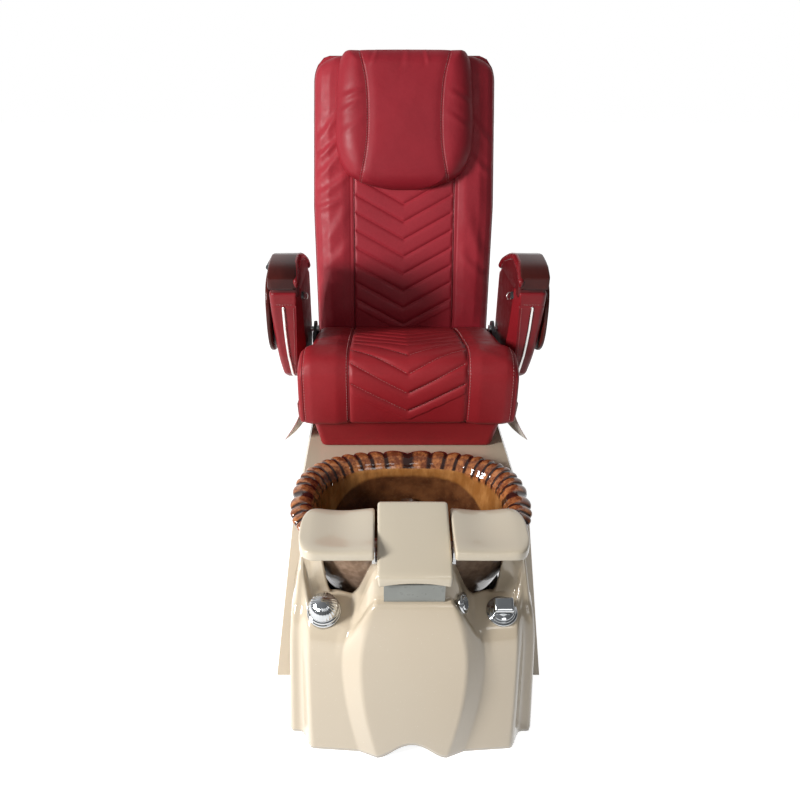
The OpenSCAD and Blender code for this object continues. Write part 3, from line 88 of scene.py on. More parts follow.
def stations(low, high, radius, n, edge_n=9):
    """Places from low to high with close steps over both rounded edges."""
    side = edge_steps(radius, edge_n)
    return np.concatenate([low + side, np.linspace(low + radius, high - radius, n)[1:-1], high - side[::-1]])


def run_of(points):
    """Length along a line at each of its points."""
    return np.concatenate([[0], np.cumsum(np.linalg.norm(np.diff(points, axis=0), axis=1))])


def sample(points, run, at):
    """Points of a line at lengths along it."""
    return np.stack([np.interp(at, run, column) for column in np.transpose(points)], axis=1)


def unit(rows):
    return rows / np.linalg.norm(rows, axis=1)[:, None]


def sideways(line):
    """Unit normals of a line in a plane, on the right of its direction."""
    d = np.gradient(line, axis=0)
    return unit(np.stack([d[:, 1], -d[:, 0]], 1))


def spline(points, n):
    """n points at even steps along a smooth curve through the given points."""
    p = np.asarray(points, float)
    q = np.vstack([2 * p[0] - p[1], p, 2 * p[-1] - p[-2]])
    out = [0.5 * (2 * b + (c - a) * t + (2 * a - 5 * b + 4 * c - d) * t ** 2
                  + (3 * b - a - 3 * c + d) * t ** 3)
           for a, b, c, d in zip(q, q[1:], q[2:], q[3:]) for t in np.linspace(0, 1, 24, endpoint=False)]
    out = np.array(out + [p[-1]])
    run = run_of(out)
    return sample(out, run, np.linspace(0, run[-1], n))


def circle(n):
    """Cosines and sines of n even steps round a circle."""
    a = np.arange(n) * 2 * np.pi / n
    return np.cos(a), np.sin(a)


def signed_power(values, exponent):
    return np.sign(values) * np.abs(values) ** exponent


def oval(a, b, power, n, centre=(0, 0)):
    """A superellipse of n points."""
    c, s = (signed_power(v, 2 / power) for v in circle(n))
    return np.stack([centre[0] + a * c, centre[1] + b * s], axis=1)


def fbm(points, scale, seed=0.0, octaves=3):
    """Smooth noise between about -1 and 1 at points in millimetres, with features of that scale."""
    shift = Vector((seed * 17.3, seed * 5.1, seed * 9.7))
    flat = np.asarray(points, float).reshape(-1, 3) / scale
    out = np.array([noise.fractal(Vector(p) + shift, 1.0, 2.0, octaves) for p in flat])
    return out.reshape(np.shape(points)[:-1])


# ---------------------------------------------------------------- meshes

def add(name, data):
    """A new object in the scene."""
    o = bpy.data.objects.new(name, data)
    bpy.context.scene.collection.objects.link(o)
    return o


def piece(name, verts, faces, material, body, nodes=(), slot=None):
    """A smooth shaded mesh that rides on a body and stands for CAD nodes."""
    mesh = bpy.data.meshes.new(name)
    mesh.from_pydata(to_world(verts).tolist(), [], [tuple(int(i) for i in f) for f in faces])
    mesh.validate()
    mesh.update()
    mesh.polygons.foreach_set("use_smooth", [True] * len(mesh.polygons))
    o = add(name, mesh)
    o.data.materials.append(MATERIAL[material])
    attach(o, body)
    if nodes:
        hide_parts(*nodes)
    return o


def both_sides(name, verts, faces, material, body, nodes=(), slot=None):
    """The piece and its mirror image; a body whose name ends in _ is there once for each side."""
    return [piece(f"{name}_{side}", v, f, material, body + side[0] if body.endswith("_") else body,
                  [f"{n}_{side}" for n in nodes], slot)
            for side, v, f in (("left", verts, faces), ("right", *mirrored(verts, faces)))]


def grid_faces(rows, cols, loop_cols=False, loop_rows=False, start=0):
    """Quads over a grid of points, in row-major order."""
    r = np.arange(rows if loop_rows else rows - 1)
    c = np.arange(cols if loop_cols else cols - 1)
    rr, cc = np.meshgrid(r, c, indexing="ij")
    r1, c1 = (rr + 1) % rows, (cc + 1) % cols
    quads = np.stack([rr * cols + cc, rr * cols + c1, r1 * cols + c1, r1 * cols + cc], axis=-1)
    return (quads.reshape(-1, 4) + start).tolist()


def border(rows, cols):
    """Indices of the edge of a grid of points, in order round it."""
    index = np.arange(rows * cols).reshape(rows, cols)
    return np.concatenate([index[0, :-1], index[:-1, -1], index[-1, :0:-1], index[:0:-1, 0]])


def bridge(ring, other):
    """Quads between two rings of indices."""
    return np.stack([np.roll(ring, -1), ring, other, np.roll(other, -1)], axis=1).tolist()


def shell(front, behind):
    """Vertices and faces of a closed skin over two grids of points."""
    rows, cols = front.shape[:2]
    ring, count = border(rows, cols), rows * cols
    faces = grid_faces(rows, cols) + [f[::-1] for f in grid_faces(rows, cols, start=count)]
    return np.concatenate([front.reshape(-1, 3), behind.reshape(-1, 3)]), faces + bridge(ring, ring + count)


def loft(rings, draw=(0.72, 0.4, 0.12)):
    """Vertices and faces of a skin through closed rings; its ends shrink to the shares in draw and close."""
    rings = [np.asarray(r, float) for r in rings]
    for end in (0, -1):
        ring, middle = rings[end], rings[end].mean(0)
        for share in draw:
            inner = middle + (ring - middle) * share
            rings.insert(0, inner) if end == 0 else rings.append(inner)
    n, verts = len(rings[0]), np.vstack(rings)
    faces = grid_faces(len(rings), n, loop_cols=True)
    return verts, faces + [list(range(n))[::-1], list(range(len(verts) - n, len(verts)))]


def tube(path, radius, sides=8, closed=False):
    """Vertices and faces of a round bar along a path; the radius may change along it."""
    p = np.asarray(path, float)
    radius = np.broadcast_to(np.asarray(radius, float), len(p))
    d = np.roll(p, -1, 0) - np.roll(p, 1, 0) if closed else np.gradient(p, axis=0)
    d = unit(d)
    side = np.cross(d[0], (0, 0, 1) if abs(d[0][2]) < 0.9 else (0, 1, 0))
    c, s = circle(sides)
    rings = []
    for k in range(len(p)):
        side = side - d[k] * (side @ d[k])
        side /= np.linalg.norm(side)
        rings.append(p[k] + radius[k] * (c[:, None] * side + s[:, None] * np.cross(d[k], side)))
    if not closed:
        return loft(rings, ())
    return np.vstack(rings), grid_faces(len(p), sides, loop_cols=True, loop_rows=True)


def join(*parts):
    """Several (vertices, faces) as one."""
    verts, faces, n = [], [], 0
    for v, f in parts:
        verts.append(np.asarray(v, float))
        faces += [[i + n for i in face] for face in f]
        n += len(v)
    return np.vstack(verts), faces


def flipped(shape):
    """The same shape with its faces turned over."""
    return shape[0], [list(f)[::-1] for f in shape[1]]


def mirrored(verts, faces):
    return flipped((np.asarray(verts, float) * [-1, 1, 1], faces))


def stitches(path, normal, length=5.0, gap=3.0, radius=0.5):
    """A row of thread stitches along a path, a little proud of the surface."""
    p = np.asarray(path, float)
    normals = np.broadcast_to(np.asarray(normal, float), p.shape)
    run = run_of(p)
    out = []
    for s in np.arange(gap, run[-1] - length, length + gap):
        line, up = (sample(q, run, np.linspace(s, s + length, 4)) for q in (p, normals))
        out.append(tube(line + up * np.array([-0.6, 0.5, 0.5, -0.6])[:, None] * radius, radius, 4))
    return join(*out)


def surface_at(grid, rows, cols, r, c):
    """Points of a grid of points, given the values of its rows and columns, at values r and c."""
    i = np.clip(np.searchsorted(rows, r) - 1, 0, len(rows) - 2)
    j = np.clip(np.searchsorted(cols, c) - 1, 0, len(cols) - 2)
    a = np.clip((r - rows[i]) / (rows[i + 1] - rows[i]), 0, 1)[:, None]
    b = np.clip((c - cols[j]) / (cols[j + 1] - cols[j]), 0, 1)[:, None]
    return ((grid[i, j] * (1 - a) + grid[i + 1, j] * a) * (1 - b)
            + (grid[i, j + 1] * (1 - a) + grid[i + 1, j + 1] * a) * b)


# ---------------------------------------------------------------- materials

class Nodes:
    """A node tree with short names for its nodes."""

    def __init__(self, tree):
        self.tree = tree

    def node(self, kind, **values):
        """A new node; each value sets the input of that name, or else the property."""
        n = self.tree.nodes.new(kind)
        for k, v in values.items():
            if k in n.inputs:
                n.inputs[k].default_value = v
            else:
                setattr(n, k, v)
        return n

    def link(self, a, b):
        self.tree.links.new(a, b)

    def put(self, value, socket):
        """Sets an input to a number or a colour, or links it to an output."""
        if isinstance(value, (int, float)):
            socket.default_value = value
        elif isinstance(value, tuple):
            socket.default_value = (*value, 1)
        else:
            self.link(value, socket)

    def parts(self, vector):
        """The x, y and z of a vector."""
        n = self.node("ShaderNodeSeparateXYZ")
        self.link(vector, n.inputs[0])
        return n.outputs

    def math(self, operation, *values):
        n = self.node("ShaderNodeMath", operation=operation)
        for value, socket in zip(values, n.inputs):
            self.put(value, socket)
        return n.outputs["Value"]


class Shader(Nodes):
    """A Principled material, its patterns laid out in the object's own space."""

    def __init__(self, name, color, rough, metallic=0.0, **sockets):
        self.m = bpy.data.materials.new(name)
        self.m.use_nodes = True
        super().__init__(self.m.node_tree)
        self.bsdf = self.tree.nodes["Principled BSDF"]
        self.bsdf.inputs["Base Color"].default_value = (*color, 1)
        self.bsdf.inputs["Roughness"].default_value = rough
        self.bsdf.inputs["Metallic"].default_value = metallic
        for k, v in sockets.items():
            self.bsdf.inputs[k.replace("_", " ")].default_value = v
        self.bumped = None
        self.where = self.node("ShaderNodeTexCoord").outputs["Object"]

    def noise(self, scale, detail=3.0, rough=0.55, stretch=None):
        n = self.node("ShaderNodeTexNoise", Scale=scale, Detail=detail, Roughness=rough)
        place = self.where
        if stretch:
            mapping = self.node("ShaderNodeMapping", Scale=stretch)
            self.link(self.where, mapping.inputs["Vector"])
            place = mapping.outputs["Vector"]
        self.link(place, n.inputs["Vector"])
        return n.outputs["Fac"]

    def cells(self, scale):
        n = self.node("ShaderNodeTexVoronoi", Scale=scale)
        self.link(self.where, n.inputs["Vector"])
        return n.outputs["Distance"]

    def ramp(self, value, lo, hi, a=0.0, b=1.0):
        n = self.node("ShaderNodeMapRange", **{"From Min": lo, "From Max": hi, "To Min": a, "To Max": b})
        n.interpolation_type = "SMOOTHSTEP"
        self.link(value, n.inputs["Value"])
        return n.outputs["Result"]

    def blend(self, factor, a, b):
        n = self.node("ShaderNodeMix", data_type="RGBA")
        for k, v in ((0, factor), (6, a), (7, b)):
            self.put(v, n.inputs[k])
        return n.outputs[2]

    def paint(self, color):
        self.link(color, self.bsdf.inputs["Base Color"])

    def shine(self, value, lo, hi):
        """Roughness from lo to hi as the value goes from 0.3 to 0.7."""
        self.link(self.ramp(value, 0.3, 0.7, lo, hi), self.bsdf.inputs["Roughness"])

    def relief(self, height, strength, distance):
        """Adds a bump; distance is in metres."""
        n = self.node("ShaderNodeBump", Strength=strength, Distance=distance)
        self.link(height, n.inputs["Height"])
        if self.bumped:
            self.link(self.bumped, n.inputs["Normal"])
        self.bumped = n.outputs["Normal"]
        self.link(self.bumped, self.bsdf.inputs["Normal"])


def scaled(color, *factors):
    """A colour times one factor, or times one for each channel."""
    return tuple(c * k for c, k in zip(color, factors * 3))


def leather(name, color, rough=(0.42, 0.54)):
    """Upholstery leather: pebbled grain, faint creases and worn, lighter high spots."""
    s = Shader(name, color, rough[0], Specular_IOR_Level=0.26)
    light = tuple(min(1, c * 1.14 + 0.002) for c in color)
    cloud, fine = s.ramp(s.noise(5), 0.2, 0.75), s.ramp(s.noise(160), 0.3, 0.75, 0, 0.3)
    s.paint(s.blend(fine, s.blend(cloud, scaled(color, 0.8), color), light))
    s.shine(s.noise(30), *rough)
    s.relief(s.cells(620), 0.16, 0.0005)
    s.relief(s.noise(110, 4, 0.6), 0.2, 0.0008)
    return s.m


def gelcoat(name, color):
    """Polished gelcoat: clear gloss over slightly uneven colour, with faint orange peel and scattered pale
    specks.
    """
    s = Shader(name, color, 0.16, Specular_IOR_Level=0.5, Coat_Weight=0.6, Coat_Roughness=0.04)
    uneven = s.blend(s.ramp(s.noise(2.6, 2), 0.2, 0.8), color, scaled(color, 0.97, 0.95, 0.92))
    s.paint(s.blend(s.ramp(s.noise(420, 2, 0.4), 0.72, 0.76, 0, 0.5), uneven, (0.85, 0.82, 0.76)))
    s.shine(s.noise(7), 0.14, 0.22)
    s.relief(s.noise(150, 2), 0.06, 0.0003)
    s.relief(s.noise(7, 1), 0.14, 0.004)
    return s.m


def metal(name, color, rough, brushed=None, stain=0.85):
    s = Shader(name, color, rough, 1.0)
    s.paint(s.blend(s.ramp(s.noise(30, 4), 0.35, 0.75), color, scaled(color, stain)))
    s.shine(s.noise(55, 5, stretch=brushed), rough * 0.7, rough * 1.5)
    s.relief(s.noise(420, 2, stretch=brushed), 0.2 if brushed else 0.08, 0.0002)
    return s.m


def plastic(name, color, rough, grain=500):
    s = Shader(name, color, rough)
    s.paint(s.blend(s.ramp(s.noise(12), 0.3, 0.7), color, scaled(color, 0.86)))
    s.shine(s.noise(60, 4), rough * 0.8, min(1, rough * 1.25))
    s.relief(s.noise(grain, 2), 0.3, 0.0003)
    return s.m


def lacquer(name, color, deep):
    """Glossy lacquer over a darker ground."""
    s = Shader(name, color, 0.14, Specular_IOR_Level=0.16, Coat_Weight=0.1, Coat_Roughness=0.05)
    s.paint(s.blend(s.ramp(s.noise(5, 5, stretch=(1, 0.35, 1)), 0.35, 0.65), color, deep))
    s.shine(s.noise(30, 4), 0.16, 0.26)
    s.relief(s.noise(14, 2), 0.1, 0.002)
    return s.m


def wood(name, color, dark):
    s = Shader(name, color, 0.6)
    rings = s.noise(14, 4, stretch=(0.3, 3, 9))
    s.paint(s.blend(s.ramp(rings, 0.35, 0.65), color, dark))
    s.relief(s.noise(90, 3, stretch=(0.3, 3, 9)), 0.3, 0.0006)
    return s.m


# Height and sag of the painted shadow line on the bowl's inner wall.
SHADE_Z, SHADE_SAG = 0.430, 62


def amber_glass(name):
    """Blown amber glass: streaked ribs with painted shade in the valleys between them, an inner wall painted
    gold where lit and dark brown as painted shade below a line, painted glints on that wall, and a taupe
    outside.
    """
    s = Shader(name, (0.3, 0.12, 0.04), 0.08, Specular_IOR_Level=0.5, Coat_Weight=0.5, Coat_Roughness=0.03)
    rib, band, outside = (s.node("ShaderNodeAttribute", attribute_name=a).outputs["Fac"]
                          for a in ("rib", "band", "outside"))
    x, _, z = s.parts(s.where)
    square = s.math("MULTIPLY", x, x)
    sag = s.math("MULTIPLY", s.math("MULTIPLY", square, square), SHADE_SAG)
    height = s.math("ADD", s.math("ADD", z, sag), s.math("MULTIPLY", s.noise(14, 4), 0.016))
    streaks = s.ramp(s.noise(34, 5, 0.65, (1, 1, 0.35)), 0.38, 0.7)
    # Painted light and shade on the inner wall: lit gold above the shadow line, shaded brown below it.
    lit_gold = s.blend(streaks, (0.30, 0.115, 0.028), (0.47, 0.21, 0.065))
    shaded_brown = s.blend(s.ramp(s.noise(20, 4), 0.3, 0.7), (0.06, 0.019, 0.008), (0.16, 0.06, 0.022))
    wall = s.blend(s.ramp(height, SHADE_Z, SHADE_Z + 0.012), shaded_brown, lit_gold)
    # Painted glints: pale amber specks over the inner wall.
    wall = s.blend(s.ramp(s.cells(300), 0.05, 0.16, 0.5, 0), wall, (0.66, 0.44, 0.22))
    crest = s.blend(s.ramp(s.noise(48, 6, 0.75), 0.40, 0.62), (0.16, 0.042, 0.016), (0.50, 0.185, 0.062))
    wavy = s.math("ADD", rib, s.math("MULTIPLY", s.noise(70, 4), 0.3))
    # The near-black colour in the valleys between the ribs is painted shade; the crests keep the streaked
    # glass colour.
    ribs = s.blend(s.ramp(wavy, 0.42, 0.86), (0.03, 0.010, 0.007), crest)
    taupe = s.blend(s.ramp(s.noise(60, 4), 0.35, 0.7), (0.25, 0.165, 0.115), (0.36, 0.25, 0.18))
    s.paint(s.blend(outside, s.blend(s.ramp(band, 0.25, 0.75), wall, ribs), taupe))
    s.relief(s.noise(60, 4), 0.25, 0.003)
    s.relief(s.noise(22, 2), 0.3, 0.004)
    return s.m


WORN, GLAZED = (0.3, 0.42), (0.2, 0.3)
PALETTE = {
    "shell_beige": (gelcoat, (0.63, 0.535, 0.405)),
    "chassis_black": (plastic, (0.03, 0.03, 0.033), 0.45, 700),
    "rubber_black": (plastic, (0.02, 0.02, 0.02), 0.8, 300),
    "steel": (metal, (0.56, 0.57, 0.58), 0.26, (1, 1, 14)),
    "brass": (metal, (0.66, 0.47, 0.20), 0.3),
    "black_plastic": (plastic, (0.025, 0.025, 0.028), 0.42),
    "amber_glass": (amber_glass,),
    "chrome": (metal, (0.56, 0.575, 0.59), 0.07, None, 0.9),
    "white_plastic": (plastic, (0.78, 0.78, 0.75), 0.4),
    "pad_beige": (gelcoat, (0.655, 0.575, 0.445)),
    "guide_grey": (plastic, (0.285, 0.295, 0.275), 0.32, 260),
    "frame_dark": (plastic, (0.035, 0.037, 0.04), 0.4, 420),
    "plywood": (wood, (0.55, 0.38, 0.21), (0.36, 0.22, 0.11)),
    "seat_leather": (leather, (0.29, 0.0135, 0.019)),
    "back_leather": (leather, (0.365, 0.024, 0.037)),
    "pillow_leather": (leather, (0.31, 0.017, 0.028)),
    "skirt_leather": (leather, (0.28, 0.012, 0.017)),
    "cover_red": (leather, (0.30, 0.016, 0.026), WORN),
    "cap_mahogany": (lacquer, (0.085, 0.014, 0.011), (0.035, 0.006, 0.005)),
    "arm_leather": (leather, (0.245, 0.0115, 0.017), WORN),
    "trim_silver": (metal, (0.80, 0.79, 0.77), 0.22, (1, 1, 0.1)),
    # Near-black leather of the arm recess panels and gussets: painted shade for the recess under the cap.
    "arm_panel": (leather, (0.10, 0.005, 0.007), WORN),
    "welt": (leather, (0.17, 0.009, 0.014), (0.34, 0.46)),
    "band_red": (leather, (0.20, 0.010, 0.014), GLAZED),
    # Pale pink thread: real stitches, and their lightness is partly a painted highlight along the seams.
    "thread": (plastic, (0.50, 0.24, 0.23), 0.7, 900),
    # Pale lining: the covers' real inside colour, set lighter as painted light for the lit inner face.
    "lining": (plastic, (0.74, 0.69, 0.62), 0.5, 260),
}
MATERIAL = {name: make(name, *values) for name, (make, *values) in PALETTE.items()}


def dress_cad_nodes():
    """Gives each CAD node the finish of its material slot, and smooth shading up to its real edges."""
    slots = {row["node"]: row["material_slot"] for row in frame["record"]["subparts"]}
    for name, o in frame["nodes"].items():
        dark = name.startswith(("tray_hinge", "arm_latch"))
        o.data.materials.clear()
        o.data.materials.append(MATERIAL["frame_dark" if dark else slots[name]])
        o.data.polygons.foreach_set("use_smooth", [True] * len(o.data.polygons))
        edges = o.modifiers.new("edges", "EDGE_SPLIT")
        edges.split_angle = math.radians(32)


# ---------------------------------------------------------------- camera, lights and floor

CAMERA_AT = (-0.06703, -1.52443, 1.38874)
CAMERA_TILT = 63.051
CAMERA_LENS = 31.04
CAMERA_SHIFT = 0.0234
AMBIENT = 0.18
KEY_POWER, FILL_POWER = 158, 11


def camera():
    cam = bpy.data.cameras.new("camera")
    cam.lens = CAMERA_LENS
    cam.sensor_width = 36
    cam.shift_x = CAMERA_SHIFT
    o = add("camera", cam)
    o.location = CAMERA_AT
    o.rotation_euler = (math.radians(CAMERA_TILT), 0, 0)
    bpy.context.scene.camera = o


def area_light(name, at, aim, size, power):
    lamp = bpy.data.lights.new(name, "AREA")
    lamp.shape = "RECTANGLE"
    lamp.size, lamp.size_y = size
    lamp.energy = power
    o = add(name, lamp)
    o.location = at
    o.rotation_euler = (Vector(aim) - Vector(at)).to_track_quat("-Z", "Y").to_euler()


def studio():
    """Window light from the left, a weak fill from the front, and a white backdrop behind the chair."""
    camera()
    area_light("window_left", (-2.9, -1.8, 1.9), (0, 0.1, 0.6), (0.8, 1.0), KEY_POWER)
    area_light("window_front", (0.9, -3.3, 2.6), (0, 0, 0.5), (1.2, 1.0), FILL_POWER)
    world = bpy.data.worlds.new("studio")
    bpy.context.scene.world = world
    world.use_nodes = True
    sky = Nodes(world.node_tree)
    light = sky.tree.nodes["Background"]
    light.inputs["Color"].default_value = (0.96, 0.98, 1.0, 1)
    x, y, z = sky.parts(sky.node("ShaderNodeTexCoord").outputs["Generated"])
    lit_left = sky.math("MULTIPLY_ADD", x, -0.10, AMBIENT)
    sky.link(sky.math("MULTIPLY_ADD", z, 0.08, lit_left), light.inputs["Strength"])
    white = sky.node("ShaderNodeBackground", Color=(1, 1, 1, 1))
    path = sky.node("ShaderNodeLightPath").outputs
    behind = sky.node("ShaderNodeMapRange", **{"From Min": 0.1, "From Max": 0.7})
    sky.link(y, behind.inputs["Value"])
    mirror = sky.math("MULTIPLY", path["Is Glossy Ray"], behind.outputs[0])
    seen = sky.math("MAXIMUM", path["Is Camera Ray"], path["Is Transmission Ray"])
    pick = sky.node("ShaderNodeMixShader")
    for k, source in enumerate((sky.math("MAXIMUM", seen, mirror), light.outputs[0], white.outputs[0])):
        sky.link(source, pick.inputs[k])
    sky.link(pick.outputs[0], sky.tree.nodes["World Output"].inputs["Surface"])
    floor()


FLOOR_HALF, FLOOR_GLOW = 14, 0.88
SHADOW_X, SHADOW_Y = 0.277, 0.44


def floor():
    """Plain pale floor; outside the chair's own footprint the camera and gloss see it as white."""
    mesh = bpy.data.meshes.new("floor")
    corners = [(x * FLOOR_HALF, y * FLOOR_HALF, 0) for x, y in ((-1, -1), (1, -1), (1, 1), (-1, 1))]
    mesh.from_pydata(corners, [], [(0, 1, 2, 3)])
    o = add("floor", mesh)
    s = Shader("floor", (0.62, 0.62, 0.61), 0.75)
    s.shine(s.noise(5), 0.7, 0.85)
    glow = s.node("ShaderNodeEmission")
    path = s.node("ShaderNodeLightPath").outputs
    x, y, _ = s.parts(s.where)
    beside = s.math("GREATER_THAN", s.math("ABSOLUTE", x), SHADOW_X)
    beyond = s.math("GREATER_THAN", s.math("ABSOLUTE", y), SHADOW_Y)
    seen = s.math("MAXIMUM", path["Is Camera Ray"], path["Is Glossy Ray"])
    open_floor = s.math("MULTIPLY", s.math("MAXIMUM", beside, beyond), seen)
    s.link(s.math("MULTIPLY", open_floor, FLOOR_GLOW), glow.inputs["Strength"])
    both = s.node("ShaderNodeAddShader")
    s.link(s.bsdf.outputs[0], both.inputs[0])
    s.link(glow.outputs[0], both.inputs[1])
    s.link(both.outputs[0], s.tree.nodes["Material Output"].inputs["Surface"])
    o.data.materials.append(s.m)


# ---------------------------------------------------------------- base: the front apron

DECK_Z = 445
FLOOR_GAP = 1.5
AIR = 0.3
PANEL_TOE_HALF, PANEL_MID_HALF, PANEL_TOP_HALF = 76, 110, 78
PANEL_MID_Z, PANEL_TOP_Z, PANEL_LEAN = 254, 389, 60
SHOULDER_Z, SHOULDER_SLOPE = 310, 0.4
MID_Y, MID_HALF, MID_DROP, MID_LEAN = 67, 281, 15, 28
WING_HALF, WING_Y, WING_SWEEP, WING_DRAFT = 228, 20, 8, 5
REAR_Y, REAR_LEAN, REAR_GAP = 225, 37, 4
VALLEY_X = 130
FACET_W = 40
ARCH_H, ARCH_HALF = 42, 74
BOWL_W, BOWL_L, BOWL_Y0, BOWL_DEPTH = 542, 395, 134, 232
BOWL_Y = BOWL_Y0 + BOWL_L / 2
GLASS_T, RIM_W, RIM_H, FLUTES, GASKET_T = 9, 46, 22, 44, 3
BOWL_POWER = 2.7
SHOULDER_FILLET = 36
RIM_Z = DECK_Z + GASKET_T
TAP_X, TAP_Y, KNOB_R = 188, 104, 32


def opening_y(x):
    """Front edge of the bowl's opening at a distance x from the centre plane."""
    return BOWL_Y - (BOWL_L / 2 - 7) * (1 - np.minimum(1, x / (BOWL_W / 2 - 40)) ** 4) ** 0.25


def panel_half(z):
    low = mix(PANEL_TOE_HALF, PANEL_MID_HALF, np.sin(np.pi / 2 * np.clip(z / PANEL_MID_Z, 0, 1)))
    t = np.clip((z - PANEL_MID_Z) / (PANEL_TOP_Z - PANEL_MID_Z), 0, 1)
    return np.where(z < PANEL_MID_Z, low, mix(PANEL_TOP_HALF, PANEL_MID_HALF, np.cos(np.pi / 2 * t)))


def shoulder(y):
    return SHOULDER_Z + SHOULDER_SLOPE * (y - PANEL_LEAN) - 1.6 * np.maximum(0, y - BOWL_Y0 - 12)


def mid_top(y):
    return lookup(y, [(MID_Y + MID_LEAN, SHOULDER_Z - 5), (MID_Y + 53, SHOULDER_Z + 14),
                      (MID_Y + 83, mix(SHOULDER_Z, DECK_Z, 0.58)), (MID_Y + 118, DECK_Z - 9),
                      (REAR_Y - REAR_GAP, DECK_Z)])


def pedestal_top(y):
    return lookup(y, [(PANEL_LEAN, PANEL_TOP_Z), (PANEL_LEAN + 15, PANEL_TOP_Z + 2),
                      (PANEL_LEAN + 30, DECK_Z - 10), (PANEL_LEAN + 44, DECK_Z)])


def mid_half(z):
    return lookup(z, [(0, MID_HALF), (SHOULDER_Z - 5, MID_HALF - MID_DROP),
                      (SHOULDER_Z + 30, MID_HALF - MID_DROP - 10), (DECK_Z, MID_HALF - MID_DROP - 27)])


def return_edge(z):
    """Rear edge of the outer step, against the rear shell."""
    return np.stack([mid_half(z) + 1.5, REAR_Y + REAR_LEAN * z / DECK_Z - AIR, z], 1)


def wall_line(kind, s, t):
    """The front wall of one column: points at height shares t."""
    top = {"panel": PANEL_TOP_Z, "facet": mix(PANEL_TOP_Z, SHOULDER_Z, s)}.get(kind, SHOULDER_Z)
    low = FLOOR_GAP
    if kind == "panel":
        x = s * PANEL_TOE_HALF
        low += ARCH_H * math.cos(math.pi / 2 * min(1, x / ARCH_HALF)) ** 1.8
    z = low + t * (top - low)
    zp = np.minimum(z, PANEL_TOP_Z)
    edge, crease = panel_half(zp), panel_half(np.minimum(z, PANEL_MID_Z)) + FACET_W
    front = PANEL_LEAN * (zp / PANEL_TOP_Z) ** 2.6
    wing_front = mix(WING_Y, PANEL_LEAN, (np.minimum(z, SHOULDER_Z) / SHOULDER_Z) ** 1.6)
    wing_half = WING_HALF - WING_DRAFT * z / SHOULDER_Z
    if kind == "panel":
        return np.stack([s * edge, front, z], 1)
    if kind == "facet":
        return np.stack([mix(edge, crease, s), mix(front, wing_front - WING_SWEEP / 2, s), z], 1)
    if kind == "wing":
        return np.stack([mix(crease, wing_half, s), wing_front + WING_SWEEP * (s - 0.5), z], 1)
    if kind == "mid":
        front = MID_Y + MID_LEAN * (z / SHOULDER_Z) ** 1.3
        return np.stack([mix(wing_half + 13, mid_half(z), s), front, z], 1)
    return return_edge(z)


def top_line(kind, s, t):
    """The top of one column: points at shares t of the way back to the bowl."""
    y0 = MID_Y + MID_LEAN if kind == "mid" else PANEL_LEAN
    edge = mix(PANEL_TOP_HALF, PANEL_TOP_HALF - 3, np.minimum(1, 4 * t))
    wing_x = WING_HALF - WING_DRAFT - 2 * t
    wing_s = mix(VALLEY_X, wing_x, s)
    x_end = {"panel": s * edge, "facet": mix(edge, VALLEY_X, s)}.get(kind, wing_s)
    rear = REAR_Y - REAR_GAP
    y = mix(y0, rear if kind == "mid" else np.minimum(rear, opening_y(x_end) - 8), t)
    if kind == "panel":
        return np.stack([s * edge, y, pedestal_top(y)], 1)
    if kind == "facet":
        return np.stack([mix(edge, VALLEY_X, s), y, mix(pedestal_top(y), shoulder(y), smooth(s))], 1)
    if kind == "wing":
        step = 16 * (1 - smooth((y - y0) / (rear - y0) * 1.6))
        climb = smooth((y - TAP_Y - KNOB_R + 2) / 26)
        low = shoulder(y)
        scoop = low + np.minimum(DECK_Z - low - 4, 0.033 * (wing_s - VALLEY_X) ** 2) * climb
        rise = mix(scoop, mid_top(y) + step, smooth((s - 0.62) / 0.38))
        clear = smooth((np.hypot(wing_s - TAP_X, y - TAP_Y) - KNOB_R - 18) / 10)
        return np.stack([wing_s, y, mix(low, rise, clear)], 1)
    if kind == "mid":
        z = mid_top(y)
        return np.stack([mix(wing_x + 10, mid_half(z), s), y, z], 1)
    return return_edge(mid_top(mix(MID_Y + MID_LEAN, rear, t)))


def round_corner(line, at, reach):
    """Rounds a line at one of its points over a reach to both sides, keeping the number of points."""
    run = run_of(line)
    corner, middle = line[at].copy(), run[at]
    a, b = sample(line, run, [middle - reach, middle + reach])
    t = ((run - middle + reach) / (2 * reach))[:, None]
    curve = (1 - t) ** 2 * a + 2 * t * (1 - t) * corner + t * t * b
    line[:] = np.where((t > 0) & (t < 1), curve, line)


APRON_T, SWITCH_DENT = 4.5, 8


